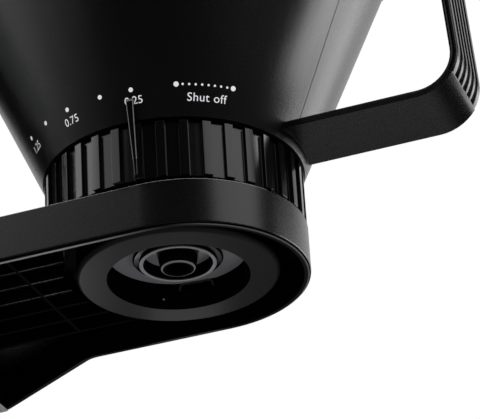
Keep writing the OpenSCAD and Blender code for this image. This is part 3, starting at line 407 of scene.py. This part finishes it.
def piece(name, bm, look, body, slot, *stands_for):
    """Store a bmesh as an object with its material, its body and the solid it replaces."""
    keep_sharp(bm)
    mesh = bpy.data.meshes.new(name)
    bm.to_mesh(mesh)
    bm.free()
    mesh.materials.append(MATERIALS[look])
    obj = bpy.data.objects.new(name, mesh)
    scene.collection.objects.link(obj)
    flat = obj.modifiers.new("flat_faces_lead", "WEIGHTED_NORMAL")
    flat.keep_sharp = True
    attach(obj, body)
    if stands_for:
        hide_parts(*stands_for)
    return obj


def body_of(node):
    return nodes[node]["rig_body"]


slot_of = {part["node"]: part["material_slot"] for part in frame["record"]["subparts"]}
print("slots in use:", sorted(set(slot_of.values())))

# %% [markdown]
# ## Rounded edges for the solids
# No moulded or pressed part has a knife edge, and the thin bright line along a rounded edge
# is what makes black plastic readable. A solid from the pack is loose triangles, so a copy
# is merged first and its flat faces are joined. Then the edges that turn sharply get a real
# bevel, and the copy stands for the solid.

# %% Merging, bevelling and cutting
WELD = 2e-6
FLAT = radians(0.6)


def merged(node):
    """A solid's mesh with its doubles merged and its flat faces joined."""
    bm = bmesh.new()
    bm.from_mesh(nodes[node].data)
    bmesh.ops.remove_doubles(bm, verts=bm.verts, dist=WELD)
    bmesh.ops.dissolve_limit(bm, angle_limit=FLAT, verts=bm.verts, edges=bm.edges)
    return bm


def sharp_edges(bm):
    return [e for e in bm.edges if len(e.link_faces) == 2 and e.calc_face_angle() > SHARP]


def soften(bm, edges, radius_mm, segments=2, clamp=True):
    """Bevel edges by a radius."""
    bmesh.ops.bevel(
        bm, geom=edges, offset=radius_mm * MM, offset_type="OFFSET", affect="EDGES",
        segments=segments, profile=0.5, material=-1, clamp_overlap=clamp)


def slice_at(bm, point, across):
    """Cut all faces along a plane and keep both sides."""
    geom = bm.verts[:] + bm.edges[:] + bm.faces[:]
    bmesh.ops.bisect_plane(bm, geom=geom, plane_co=point, plane_no=across)


print("edges that turn more than", round(degrees(SHARP)), "degrees are rounded")

# %% Bevelled copies
SPECIAL_SEGMENTS = 3


def rounded_copy(node, look, radius_mm, segments=2, special=(), prepare=None, split=None):
    """A bevelled copy of a solid; special holds (test of an edge, radius) pairs that go first."""
    bm = merged(node)
    if prepare:
        prepare(bm)
    before = len(bm.faces)
    for test, wide_mm in special:
        soften(bm, [e for e in sharp_edges(bm) if test(e)], wide_mm, SPECIAL_SEGMENTS)
    edges = sharp_edges(bm)
    soften(bm, edges, radius_mm, segments)
    if split:
        bmesh.ops.triangulate(bm, faces=[f for f in bm.faces if split(f)])
    print(node, "edges", len(edges), "faces", before, "->", len(bm.faces))
    return piece(node + "_moulded", bm, look, body_of(node), slot_of[node], node)


ROUNDED = [
    ("filter_cone", "black_satin", 0.5),
    ("flow_ring", "ring_black", 0.25), ("deck_underplate", "satin_metal", 0.3),
    ("base_shell", "housing_black", 0.8), ("warming_plate", "plate_coating", 0.6),
    ("column_shell", "housing_black", 0.5), ("rear_cover", "housing_black", 0.5),
    ("riser_housing", "housing_black", 0.5), ("spout_housing", "housing_black", 0.8),
    ("spout_cover", "housing_black", 0.8), ("spray_head", "dark_plastic", 0.6),
    ("water_tank", "tank_clear", 0.5), ("tank_lid", "housing_black", 0.8),
    ("power_button", "black_gloss", 0.8), ("button_bezel", "satin_metal", 0.3),
    ("pilot_lamp", "lamp_lens", 0.5), ("rubber_feet", "rubber", 0.6),
]
for node, look, radius in ROUNDED:
    rounded_copy(node, look, radius)

# %% [markdown]
# ## The handle
# The strap is bent from one flat bar. Its edges on the side of the fingers are rounded much
# more than the outer ones, and that soft edge shows as a grey band beside the black side.
# The ridges of the pad are rounded almost to half circles. A clamped bevel would stop at the
# nearest vertex, so these two are bevelled without the clamp.

# %% Strap and pad
LOOP_MIDDLE = on_axis(85, 0, 84)
FINGER_ROUND, RIDGE_ROUND, HANDLE_ROUND = 1.3, 0.9, 0.3
HANDLE_SEGMENTS = 4
# How much of a normal lies along a direction: 1 looks straight along it, 0 is square to it.
STRAIGHT, HALF, SLIGHT = 0.9, 0.5, 0.1


def to_fingers(face):
    """Whether a face of the strap looks into the loop."""
    inward = LOOP_MIDDLE - face.calc_center_median()
    return abs(face.normal.y) < SLIGHT and face.normal.dot(inward) > 0


def finger_edge(edge):
    """A test for the edges between a side of the strap and its face towards the fingers."""
    side = any(abs(f.normal.y) > STRAIGHT for f in edge.link_faces)
    return side and any(to_fingers(f) for f in edge.link_faces)


def ridge_edge(edge):
    """A test for the edges along the ridges of the pad."""
    along = (edge.verts[1].co - edge.verts[0].co).normalized()
    return abs(along.y) < SLIGHT


def handle_piece(node, look, test, radius_mm):
    """A bevelled copy whose picked edges are rounded by the full radius."""
    bm = merged(node)
    edges = [e for e in sharp_edges(bm) if test(e)]
    soften(bm, edges, radius_mm, HANDLE_SEGMENTS, False)
    soften(bm, sharp_edges(bm), HANDLE_ROUND)
    print(node, "edges", len(edges), "faces", len(bm.faces))
    return piece(node + "_moulded", bm, look, body_of(node), slot_of[node], node)


handle_piece("handle_strap", "arm_black", finger_edge, FINGER_ROUND)
handle_piece("grip_pad", "grip_black", ridge_edge, RIDGE_ROUND)

# %% [markdown]
# ## Picking edges and faces
# Round the outlet everything is turned about the filter axis, and where one moulding has two
# finishes the border follows its form. Selecting by hand would not survive a change of size,
# so edges and faces are picked by their radius, their height and the way they look, and
# picked faces take a second material.

# %% Radius, height and a second look
NEAR = 0.05


def radius_of(point):
    return Vector((point.x - axis_x, point.y)).length / MM


def height_of(point):
    return (point.z - rim_z) / MM


def lowest(node):
    return height_of(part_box(node)[0])


def round_edge(z, r0, r1):
    """A test for edges at height z whose ends lie between two radii from the filter axis."""
    def test(edge):
        return all(
            abs(height_of(v.co) - z) < NEAR and r0 < radius_of(v.co) < r1 for v in edge.verts)
    return test


def relook(obj, look, test):
    """Give a second material to the faces whose centre and normal pass a test."""
    obj.data.materials.append(MATERIALS[look])
    picked = [f for f in obj.data.polygons if test(f.center, f.normal)]
    for face in picked:
        face.material_index = len(obj.data.materials) - 1
    print(obj.name, "faces in", look, len(picked))


seat_low, tube_low, tip_low = (lowest(node) for node in ("seat_ring", "outlet_cup", "drip_nozzle"))
print("lowest of seat, tube and tip in mm:", [round(z, 2) for z in (seat_low, tube_low, tip_low)])

# %% [markdown]
# ## The seat
# The seat is the ring that the filter holder stands in. Its broad lower edge is rounded, and
# only that face is grey; the bore takes a black that barely reflects, painted shade that keeps
# it as black as a hole looks.

# %% Seat
FINE_ROUND = 0.25
SEAT_ROUND, SEAT_TURN = 1.5, 0.2
SEAT_OUTER_EDGE = 30, 40


def seat_face(c, n):
    """A test for the seat's lower face with its rounding."""
    return height_of(c) < seat_low + SEAT_ROUND and n.z < -SEAT_TURN


seat_edge = [(round_edge(seat_low, *SEAT_OUTER_EDGE), SEAT_ROUND)]
# The seat takes the black of painted shade; only its lower face turns grey.
seat = rounded_copy("seat_ring", "shade_black", FINE_ROUND, special=seat_edge)
relook(seat, "seat_grey", seat_face)

# %% [markdown]
# ## The outlet cup
# The cup closes the cone from below: a pale dish with a key slot, and a tube that ends in a
# thin lip. The dish's pale grey is partly its plastic and partly a painted reflection of the
# light in its gloss. The lip is drawn by a fine bright line, a painted highlight, so its lower
# edge gets a wider rounding and a paler finish. The dish is cut along the foot of the slot,
# where its paler face ends.

# %% Outlet cup
DISH_Z = 11.4
KEY_FOOT = on_axis(22.7, 90, DISH_Z)
TUBE_BORE = 12
TUBE_EDGES = 5, 20
LIP_ROUND, LIP_TALL, LIP_TURN = 0.6, 0.4, 0.8
WALL_TURN = 0.3


def cut_at_key(bm):
    """Cut the cup upright along the foot of the key slot."""
    slice_at(bm, KEY_FOOT, (0, 1, 0))


def dish_face(c, n):
    """A test for the flat of the dish up to the key slot."""
    flat = abs(height_of(c) - DISH_Z) < 2 * NEAR and n.z < -STRAIGHT
    return flat and c.y < KEY_FOOT.y


def tube_wall(c, n):
    """A test for the inside of the tube."""
    return height_of(c) < DISH_Z and radius_of(c) < TUBE_BORE and n.z > -WALL_TURN


def tube_lip(c, n):
    """A test for the end of the tube."""
    return height_of(c) < tube_low + LIP_TALL and n.z < -LIP_TURN


lip_edge = [(round_edge(tube_low, *TUBE_EDGES), LIP_ROUND)]
cup = rounded_copy("outlet_cup", "black_gloss", FINE_ROUND, special=lip_edge, prepare=cut_at_key)
# Painted reflection on the dish.
relook(cup, "sheen_grey", dish_face)
# Painted shade inside the tube.
relook(cup, "shade_black", tube_wall)
# Painted highlight on the lip of the tube.
relook(cup, "glint_grey", tube_lip)

# %% [markdown]
# ## The drip nozzle
# The nozzle is a smaller tube inside the first. Its bore is black, the barely reflecting black
# of painted shade, and its lip carries the innermost bright circle as a painted highlight.

# %% Drip nozzle
TIP_ROUND = 0.45
TIP_BORE = 5.2
TIP_EDGES = 2, 8


def tip_bore(c, n):
    """A test for the inside of the nozzle."""
    return radius_of(c) < TIP_BORE


def tip_lip(c, n):
    """A test for the end of the nozzle."""
    return height_of(c) < tip_low + LIP_TALL and radius_of(c) > TIP_BORE


tip_edge = [(round_edge(tip_low, *TIP_EDGES), TIP_ROUND)]
nozzle = rounded_copy("drip_nozzle", "black_gloss", FINE_ROUND, special=tip_edge)
# Painted shade in the nozzle's bore.
relook(nozzle, "shade_black", tip_bore)
# Painted highlight on the nozzle's lip.
relook(nozzle, "glint_grey", tip_lip)

# %% [markdown]
# ## The collar
# A thin glossy collar sits on the tube below the dish. It could be lathed from a curve; here
# five corners of its section, as radius and height, are joined and spun once about the axis.

# %% Collar
COLLAR = ((12.9, 8.1), (14.4, 8.3), (14.9, 8.8), (14.9, 9.8), (12.9, 9.8))
COLLAR_STEPS = 72
collar = bmesh.new()
corners = [collar.verts.new(on_axis(r, 0, z)) for r, z in COLLAR]
sides = [collar.edges.new((corners[k - 1], corners[k])) for k in range(len(corners))]
bmesh.ops.spin(
    collar, geom=corners + sides, cent=axis_foot, axis=UP, angle=2 * pi,
    steps=COLLAR_STEPS, use_merge=True)
bmesh.ops.recalc_face_normals(collar, faces=collar.faces)
print("collar faces:", len(collar.faces))
piece("outlet_collar", collar, "black_gloss", "filter_holder", None)

# %% [markdown]
# ## The arm
# The arm is a long tray upside down: a wall with a round nose, and ribs inside. Its wall
# shines, its inside takes a barely reflecting black as painted shade, and fine pale lines
# painted along its edges stand for highlights. All of them follow the outline, so each face
# is asked how far it looks away from the arm's middle line.

# %% Ways round the arm
NOSE_X = axis_x + 2.9 * MM
NOSE_R = 40.5
RIM_MIN = 37.5
RIM_ROUND, DECK_ROUND, RIB_ROUND = 1.1, 0.8, 0.6


def from_middle(point):
    """The way from the arm's middle line, or from the centre of its nose, to a point."""
    return Vector((max(point.x - NOSE_X, 0), point.y, 0))


def outward(c, n):
    """How far a face of the arm looks away from the arm's middle line, from -1 to 1."""
    return from_middle(c).normalized().dot(n)


def arm_edge(z):
    """A test for the arm's outer edge at a height."""
    def test(edge):
        at_height = all(abs(height_of(v.co) - z) < NEAR for v in edge.verts)
        return at_height and any(
            outward(f.calc_center_median(), f.normal) > HALF for f in edge.link_faces)
    return test


def on_rim(face):
    """A test for the flat of the arm's lower rim."""
    return face.normal.z < -STRAIGHT and abs(height_of(face.calc_center_median())) < NEAR


print("arm is", round(height_of(arm_high_corner), 2), "mm tall")

# %% Arm with its finishes
RIB_Z = 5.9
EVERYWHERE = 500
INSIDE_TOP = 12.8
DECK_FROM = 15
NEAR_SIDE = -20 * MM
FLAT_TURN, FOOT_TURN = 0.99, 0.85
RIM_TURN, DECK_TURN = 0.2, 0.3


def inside(c, n):
    """A test for the ribs and walls inside the tray."""
    return height_of(c) < INSIDE_TOP and n.z < HALF and outward(c, n) < SLIGHT


def rounding(c, n):
    """A test for the lower part of the rounding between the arm's wall and its rim."""
    far = from_middle(c).length > (NOSE_R - RIM_ROUND) * MM
    return far and height_of(c) < RIM_ROUND and n.z < -HALF


def rounding_foot(c, n):
    """A test for the strip of that rounding beside the rim."""
    return rounding(c, n) and -FLAT_TURN < n.z < -FOOT_TURN


def rim_flat(c, n):
    """A test for the flat of the rim, apart from the ends of the ribs."""
    far = from_middle(c).length > RIM_MIN * MM
    flat = height_of(c) < 2 * NEAR and n.z < -FLAT_TURN
    return far and flat and outward(c, n) < RIM_TURN


def deck_line(c, n):
    """A test for the rounding of the arm's upper edge on the near side, where a highlight is
    painted.
    """
    rounded = SLIGHT < n.z < STRAIGHT and outward(c, n) > DECK_TURN
    return rounded and height_of(c) > DECK_FROM and c.y < NEAR_SIDE


arm_edges = [
    (arm_edge(0), RIM_ROUND), (arm_edge(height_of(arm_high_corner)), DECK_ROUND),
    (round_edge(RIB_Z, 0, EVERYWHERE), RIB_ROUND)]
arm = rounded_copy("arm_deck", "arm_black", FINE_ROUND, special=arm_edges, split=on_rim)
# Painted shade on the ribs and inner walls, and on the lower rounding of the rim.
relook(arm, "shade_black", inside)
relook(arm, "shade_black", rounding)
# Painted highlights on the nose's rounding and on the flat of the rim.
relook(arm, "nose_highlight_grey", rounding_foot)
relook(arm, "rim_highlight_grey", rim_flat)
# Painted highlight along the near side of the arm's upper edge.
relook(arm, "sheen_grey", deck_line)

# %% [markdown]
# ## Small marks in the bore
# Deep in the bore a thin staple shape hangs under the dish: the guide that finds the key slot
# when the holder is put back. It is drawn as a bead: a circle is set at each point of a path,
# square to it, and each is bridged to the one before. Beside it the mould's gate has left a
# pip on the wall of the seat, and its pale grey is a painted glint.

# %% Guide and pip
GUIDE_R, GUIDE_THICK = 22.6, 0.4
GUIDE = (
    (110.3, 8.4), (109.7, 10.2), (107.6, 10.9), (93.3, 11.1), (85.3, 11.1), (81.7, 10.4),
    (80.1, 8.4))
PIP_R = 0.36
PIP_PLACE = on_axis(23.45, 124, 5.7)


def bead(path, radius_mm, sides=8):
    """A round bar along a path of points, with closed ends."""
    bm = bmesh.new()
    last = len(path) - 1
    rings = []
    for i, point in enumerate(path):
        along = (path[min(i + 1, last)] - path[max(i - 1, 0)]).normalized()
        across = along.cross(Vector((point.x - axis_x, point.y, 0)).normalized()).normalized()
        square = Matrix((across.cross(along), across, along)).transposed().to_4x4()
        made = bmesh.ops.create_circle(
            bm, cap_ends=i in (0, last), segments=sides, radius=radius_mm * MM,
            matrix=Matrix.Translation(point) @ square)
        rings.append(list(dict.fromkeys(e for v in made["verts"] for e in v.link_edges)))
    for ring, following in zip(rings, rings[1:]):
        bmesh.ops.bridge_loops(bm, edges=ring + following)
    bmesh.ops.recalc_face_normals(bm, faces=bm.faces)
    return bm


guide = bead([on_axis(GUIDE_R, turn, z) for turn, z in GUIDE], GUIDE_THICK)
print("guide bead points:", len(GUIDE), "faces:", len(guide.faces))
piece("key_guide", guide, "housing_black", "filter_holder", None)
pip = bmesh.new()
bmesh.ops.create_icosphere(
    pip, subdivisions=2, radius=PIP_R * MM, matrix=Matrix.Translation(PIP_PLACE))
# The pip's pale grey is a painted glint.
piece("gate_pip", pip, "glint_grey", "machine", None)

# %% [markdown]
# ## The flow scale
# The scale is pad-printed on the cone: a row of dots for the flow, three plain numbers, and
# a dotted arc where the valve is shut. A picture on the material could show it, but a print
# has a crisp edge at any distance, so each mark is a thin sheet of its own. It is drawn flat,
# in millimetres along and up the slant, and then wound onto the cone.

# %% Cone surface under the print
CONE_LEAN = radians(23.8)
CONE_FOOT_R = 43.6
CONE_FOOT_Z = 37.5
PRINT_PROUD = 0.04


def on_cone(turn, slant, across, proud=PRINT_PROUD):
    """A point of the print: mm up the slant from the foot, mm across from a direction."""
    r = CONE_FOOT_R + slant * sin(CONE_LEAN) + proud
    z = CONE_FOOT_Z + slant * cos(CONE_LEAN)
    return on_axis(r, turn + degrees(across / r), z)


def wind(bm, turn, slant):
    """Wind a flat drawing in mm, centred on its origin, onto the cone."""
    for v in bm.verts:
        v.co = on_cone(turn, slant + v.co.y, v.co.x)


def up_slant(z):
    return (z - CONE_FOOT_Z) / cos(CONE_LEAN)


print("cone leans by", round(degrees(CONE_LEAN), 1), "degrees")

# %% Dots
DOT, END_DOT, FINE_DOT = 0.75, 0.85, 0.38
DOT_SIDES = 20
SHUT_FROM, SHUT_TO, SHUT_Z = -66.8, -44.2, 46.8
SHUT_STEPS = 9
FLOW_DOTS = ((-84.4, 46.5), (-97.4, 46.6), (-113.4, 47.1), (-127.3, 47.7), (-141.5, 48.5))


def dot(radius, turn, z):
    """One printed dot on the cone."""
    bm = bmesh.new()
    bmesh.ops.create_circle(bm, cap_ends=True, segments=DOT_SIDES, radius=radius)
    wind(bm, turn, up_slant(z))
    return bm


def joined(parts):
    """One bmesh from several, which are freed."""
    whole = bmesh.new()
    for part in parts:
        scratch = bpy.data.meshes.new("scratch")
        part.to_mesh(scratch)
        part.free()
        whole.from_mesh(scratch)
        bpy.data.meshes.remove(scratch)
    return whole


marks = [dot(DOT, turn, z) for turn, z in FLOW_DOTS]
marks += [dot(END_DOT, turn, SHUT_Z) for turn in (SHUT_FROM, SHUT_TO)]
for k in range(1, SHUT_STEPS):
    marks.append(dot(FINE_DOT, SHUT_FROM + (SHUT_TO - SHUT_FROM) * k / SHUT_STEPS, SHUT_Z))
print("dots printed:", len(marks))
piece("scale_dots", joined(marks), "print_white", "filter_holder", None)

# %% Numbers and word
CAPITAL_SHARE = 0.69
LETTER_STEPS = 4
# Each row: text, turn, height on the axis, height of a capital, spacing.
WORDS = (
    ("0.25", -83.9, 42.2, 2.5, 1.0), ("0.75", -113.0, 42.5, 2.5, 1.0),
    ("1.25", -140.6, 43.8, 2.5, 1.0), ("Shut off", -54.6, 41.9, 2.7, 1.06),
)


def lettering(text, height, spacing=1.0):
    """Flat letters as a bmesh, in mm, centred, with the given capital height."""
    curve = bpy.data.curves.new("letters", "FONT")
    curve.body = text
    curve.align_x = "CENTER"
    curve.size = height / CAPITAL_SHARE
    curve.resolution_u = LETTER_STEPS
    curve.space_character = spacing
    obj = bpy.data.objects.new("letters", curve)
    bm = bmesh.new()
    bm.from_mesh(obj.to_mesh())
    obj.to_mesh_clear()
    bpy.data.objects.remove(obj)
    bpy.data.curves.remove(curve)
    return bm


words = []
for text, turn, z, height, spacing in WORDS:
    word = lettering(text, height, spacing)
    wind(word, turn, up_slant(z))
    words.append(word)
print("words printed:", len(words))
piece("scale_lettering", joined(words), "print_white", "filter_holder", None)

# %% [markdown]
# ## The pointer
# The pointer is a thin fin that climbs from the ring onto the print. Its long edges carry
# fine pale lines as painted highlights, and so does its tip. A material could fade along it,
# but clean cuts through the mesh let each stretch take its own finish, and the cuts vanish in
# the shading.

# %% Pointer
POINTER_DIR = -84.3
POINTER_ROUND, POINTER_SEGMENTS = 0.5, 4
TIP_LONGER = 1.2
TIP_HIGHLIGHT = 0.9
LINES_FROM = 23.0
LINE_AHEAD, LINE_ASIDE, TIP_AHEAD = 0.25, 0.3, 0.2
tip_z = height_of(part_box("flow_pointer")[1])
ahead = (on_axis(1, POINTER_DIR, 0) - axis_foot).normalized()
aside = Vector(UP).cross(ahead)
up_the_cone = sin(CONE_LEAN) * ahead + Vector((0, 0, cos(CONE_LEAN)))
highlight_from = tip_z + TIP_LONGER * cos(CONE_LEAN) - TIP_HIGHLIGHT


def pointer_shape(bm):
    """Draw the tip a little further up the cone, and cut the fin where its finish changes."""
    for v in bm.verts:
        if height_of(v.co) > tip_z - NEAR:
            v.co += TIP_LONGER * MM * up_the_cone
    for z in (LINES_FROM, highlight_from):
        slice_at(bm, on_axis(0, 0, z), UP)


def pale_on_pointer(c, n):
    """A test for the faces along the long edges and for the tip, which take a painted highlight.
    """
    on_edge = n.dot(ahead) > LINE_AHEAD and abs(n.dot(aside)) > LINE_ASIDE
    on_tip = height_of(c) > highlight_from and n.dot(ahead) > TIP_AHEAD
    return on_tip or (on_edge and height_of(c) > LINES_FROM)


pointer = rounded_copy(
    "flow_pointer", "black_gloss", POINTER_ROUND, POINTER_SEGMENTS, prepare=pointer_shape)
# Painted highlights on the pointer's edges and tip.
relook(pointer, "pointer_highlight_grey", pale_on_pointer)

# %% [markdown]
# ## The level marks of the tank
# The tank is filled by the cup, so its side carries a ladder of lines with a plain number at
# each. It is the same kind of print as the scale, on a flat wall: every mark is drawn in the
# plane, lifted upright and set a hair in front of the plastic.

# %% Level marks
tank_low, tank_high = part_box("water_tank")
MARK_X = (tank_low.x + tank_high.x) / 2
MARK_PROUD = 0.05
CUPS = (2, 4, 6, 8, 10)
LADDER_FROM, LADDER_STEP = 0.18, 0.16
LINE_LONG, LINE_THICK = 11.0, 1.0
NUMBER_TALL = 6.0


def rectangle(long, thick):
    """A flat rectangle in mm, centred on its origin."""
    bm = bmesh.new()
    bmesh.ops.create_grid(bm, x_segments=1, y_segments=1, size=0.5)
    bmesh.ops.scale(bm, vec=(long, thick, 1), verts=bm.verts)
    return bm


def on_tank(bm, x_mm, z):
    """Lift a flat drawing in mm onto the near side wall of the tank."""
    y = tank_low.y - MARK_PROUD * MM
    for v in bm.verts:
        v.co = Vector((MARK_X + (x_mm + v.co.x) * MM, y, z + v.co.y * MM))
    return bm


ladder = []
for k, cups in enumerate(CUPS):
    line_z = tank_low.z + (tank_high.z - tank_low.z) * (LADDER_FROM + LADDER_STEP * k)
    number_z = line_z - NUMBER_TALL / 2 * MM
    ladder.append(on_tank(rectangle(LINE_LONG, LINE_THICK), 0, line_z))
    ladder.append(on_tank(lettering(str(cups), NUMBER_TALL), LINE_LONG, number_z))
piece("level_marks", joined(ladder), "print_white", "machine", None)
print("level marks:", len(CUPS))

# %% [markdown]
# ## The mark on the button
# A push switch carries the common sign for power: an open ring with a bar in its gap. Both
# are drawn flat by sweeping or stretching one edge, and laid a hair above the button, so
# that the mark goes down with it.

# %% Power mark
BUTTON_PROUD = 0.03
button_low, button_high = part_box("power_button")
button_r = (button_high.x - button_low.x) / 2 / MM
button_top = (button_low + button_high) / 2
button_top.z = button_high.z + BUTTON_PROUD * MM
MARK_IN, MARK_OUT = 0.42 * button_r, 0.52 * button_r
MARK_GAP = radians(70)
MARK_STEPS = 40
BAR_LONG, BAR_FROM = 0.44 * button_r, 0.24 * button_r

gap_end = Vector((cos(MARK_GAP / 2), sin(MARK_GAP / 2), 0))
open_ring = bmesh.new()
ends = [open_ring.verts.new(r * gap_end) for r in (MARK_IN, MARK_OUT)]
first_edge = open_ring.edges.new(ends)
bmesh.ops.spin(
    open_ring, geom=ends + [first_edge], cent=(0, 0, 0), axis=UP, angle=2 * pi - MARK_GAP,
    steps=MARK_STEPS)
bar = rectangle(BAR_LONG, MARK_OUT - MARK_IN)
bmesh.ops.translate(bar, vec=(BAR_FROM + BAR_LONG / 2, 0, 0), verts=bar.verts)
sign = joined([open_ring, bar])
on_button = Matrix.Translation(button_top) @ Matrix.Rotation(pi / 2, 4, "Z") @ Matrix.Scale(MM, 4)
bmesh.ops.transform(sign, matrix=on_button, verts=sign.verts)
bmesh.ops.recalc_face_normals(sign, faces=sign.faces)
bmesh.ops.reverse_faces(sign, faces=[face for face in sign.faces if face.normal.z < 0])
piece("power_mark", sign, "print_white", "button", None)
print("power mark at", [round(c / MM, 1) for c in button_top], "mm")

# %% [markdown]
# ## The parting lines
# The two halves of the cone's mould meet along a line on each side, and a thread of plastic
# a tenth of a millimetre high stays there. A narrow strip, wound up the cone like the print,
# is enough to break the bright flank.

# %% Parting lines
SEAM_WIDE, SEAM_PROUD = 0.26, 0.05
SEAM_FROM_Z, SEAM_TALL = 38.2, 91.0
SEAM_STEPS = 24
SEAM_TURNS = (-7.5, 172.5)
seams = []
for turn in SEAM_TURNS:
    strip = bmesh.new()
    bmesh.ops.create_grid(strip, x_segments=1, y_segments=SEAM_STEPS, size=0.5)
    for v in strip.verts:
        slant = up_slant(SEAM_FROM_Z + (0.5 + v.co.y) * SEAM_TALL)
        v.co = on_cone(turn, slant, v.co.x * SEAM_WIDE, SEAM_PROUD)
    seams.append(strip)
piece("cone_seams", joined(seams), "rubber", "filter_holder", None)
print("seams:", len(SEAM_TURNS))

# %% [markdown]
# ## The other solids
# Screws, hoses and the heater keep their CAD shape: they are hidden or tiny, and a good
# material is all that they need.

# %% Materials on the carried-over solids
for name, obj in nodes.items():
    if not obj.hide_render:
        obj.data.materials.clear()
        obj.data.materials.append(MATERIALS[slot_of[name]])
print("carried over:", sorted(n for n, o in nodes.items() if not o.hide_render))

# %% [markdown]
# ## The floor
# The machine stands on a pale floor, but the camera looks up from below it. So the paint
# lets camera rays through from underneath and shows the floor from above, where it glows a
# little so that it reads as white paper and still takes the shadow. Light that bounces back
# up from a floor would flatten the black plastics, so for every other ray the paint is
# darker, and the floor fades away a little beyond the machine.

# %% Floor sheet
FLOOR_FULL, FLOOR_FADED = 0.33, 0.60
floor_grid = bmesh.new()
bmesh.ops.create_grid(floor_grid, x_segments=1, y_segments=1, size=FLOOR_FADED)
floor_sheet = bpy.data.meshes.new("floor")
floor_grid.to_mesh(floor_sheet)
floor_grid.free()
floor = bpy.data.objects.new("floor", floor_sheet)
scene.collection.objects.link(floor)
print("floor is", 2 * FLOOR_FADED, "m wide")

# %% Floor paint
FLOOR_BOUNCE, FLOOR_SEEN, FLOOR_GLOW = grey(0.35), grey(0.80), grey(0.18)
paint = Finish("floor_paint", Roughness=0.9, Emission_Strength=1.0)
seen = paint.node("ShaderNodeLightPath", out="Is Camera Ray")
from_below = paint.node("ShaderNodeNewGeometry", out="Backfacing")
paint.feed("Base Color", paint.tint(seen, FLOOR_BOUNCE, FLOOR_SEEN))
paint.feed("Emission Color", paint.tint(seen, grey(0.0), FLOOR_GLOW))
reach = paint.node("ShaderNodeVectorMath", {"operation": "LENGTH"}, {0: paint.place}, "Value")
gone = (seen * from_below).larger(paint.ease(reach, FLOOR_FULL, FLOOR_FADED))
solid = Wire(paint.tree, paint.shader.outputs[0])
clear = paint.node("ShaderNodeBsdfTransparent")
surface = paint.blend(gone, solid, clear)
paint.tree.links.new(surface.socket, paint.tree.nodes["Material Output"].inputs["Surface"])
floor_sheet.materials.append(paint.material)
print("floor paint has", len(paint.tree.nodes), "nodes")

# %% [markdown]
# ## The studio around it
# Black plastic shows little of its own colour: what the eye reads is the room in it. This
# room has a white backdrop behind the machine and is dark on the side of the camera. The
# camera itself always sees white, whichever way it turns; glossy rays see the backdrop
# where it stands, and diffuse rays get an even fill.

# %% World
BACKDROP = radians(110)
DARK_SIDE, WALL_BRIGHT, FILL = 0.004, 0.80, 0.8
WALL_SIDE, WALL_FOOT, CEILING = (0.2, 0.75), (-0.12, 0.08), (0.6, 0.95)
scene.view_settings.view_transform = "Standard"
world = bpy.data.worlds.new("studio")
world.use_nodes = True
world.node_tree.nodes.clear()
scene.world = world
studio = Tree(world.node_tree)
towards = studio.node("ShaderNodeTexCoord", out="Generated")


def rise(axis, start, full):
    """From 0 to 1 as the part of the direction along an axis goes from start to full."""
    return studio.ease(studio.along(towards, axis), start, full)


to_backdrop = (cos(BACKDROP), sin(BACKDROP), 0)
wall = rise(to_backdrop, *WALL_SIDE) * rise(UP, *WALL_FOOT)
ceiling = rise(UP, *CEILING)
backdrop = DARK_SIDE + WALL_BRIGHT * wall.larger(ceiling)
to_camera = studio.node("ShaderNodeLightPath", out="Is Camera Ray")
through = studio.node("ShaderNodeLightPath", out="Is Transmission Ray")
glossy = studio.node("ShaderNodeLightPath", out="Is Glossy Ray")
room = glossy * backdrop + (1 - glossy) * FILL
white = to_camera.larger(through)
brightness = white + (1 - white) * room
sky = studio.node("ShaderNodeBackground", {}, {"Color": (1, 1, 1, 1), "Strength": brightness})
studio.node("ShaderNodeOutputWorld", {}, {"Surface": sky}, None)
print("studio has", len(studio.tree.nodes), "nodes")

# %% [markdown]
# ## Softboxes
# A softbox is a glowing rectangle: its size and distance set how broad its reflection is, and
# its watts over its area set how bright. One stands high on the right, two low ones behind
# on the right draw the bright flank of the cone, a wide one fills the left, and a smaller one
# in front of it draws the ribs of the ring. Three small cards stand close by: two lift the
# underside of the seat, and one in the loop of the handle keeps its dark image off the flank.

# %% Softboxes
STAGE_MIDDLE = on_axis(0, 0, 40)
FLANK_MIDDLE = on_axis(0, 0, 87)
SEAT_R = 30
# Each row: name, azimuth, elevation, width and height as angles, radiance, distance, aim.
LAMPS = (
    ("right_softbox", -20, 25, 40, 42, 1.6),
    ("rear_softbox", 31, 11, 22, 20, 4.3),
    ("side_softbox", 53, 11, 22, 20, 2.8),
    ("left_softbox", -148, 22, 60, 46, 1.1),
    ("ring_softbox", -152, 30, 22, 24, 1.1, 0.95),
    ("low_card", 132, -32, 20, 20, 2.8, 0.098, on_axis(SEAT_R, 150, seat_low)),
    ("far_card", 109, -28, 40, 30, 1.0, 0.035, on_axis(SEAT_R, 109, seat_low)),
    ("loop_card", 2, 0, 12.5, 40, 3.6, 0.096, FLANK_MIDDLE),
)


def softbox(name, azimuth, elevation, wide, tall, radiance, distance=1.0, aim=STAGE_MIDDLE):
    """A rectangle at a distance in metres, sized by the angles that it spans from its aim."""
    spans = [2 * distance * tan(radians(angle / 2)) for angle in (wide, tall)]
    lamp = bpy.data.lights.new(name, "AREA")
    lamp.shape = "RECTANGLE"
    lamp.size, lamp.size_y = spans
    lamp.energy = pi * spans[0] * spans[1] * radiance
    obj = bpy.data.objects.new(name, lamp)
    obj.visible_camera = False
    scene.collection.objects.link(obj)
    a, e = radians(azimuth), radians(elevation)
    away = Vector((cos(e) * cos(a), cos(e) * sin(a), sin(e)))
    facing = (-away).to_track_quat("-Z", "Y").to_matrix().to_4x4()
    obj.matrix_world = Matrix.Translation(aim + distance * away) @ facing


for row in LAMPS:
    softbox(*row)
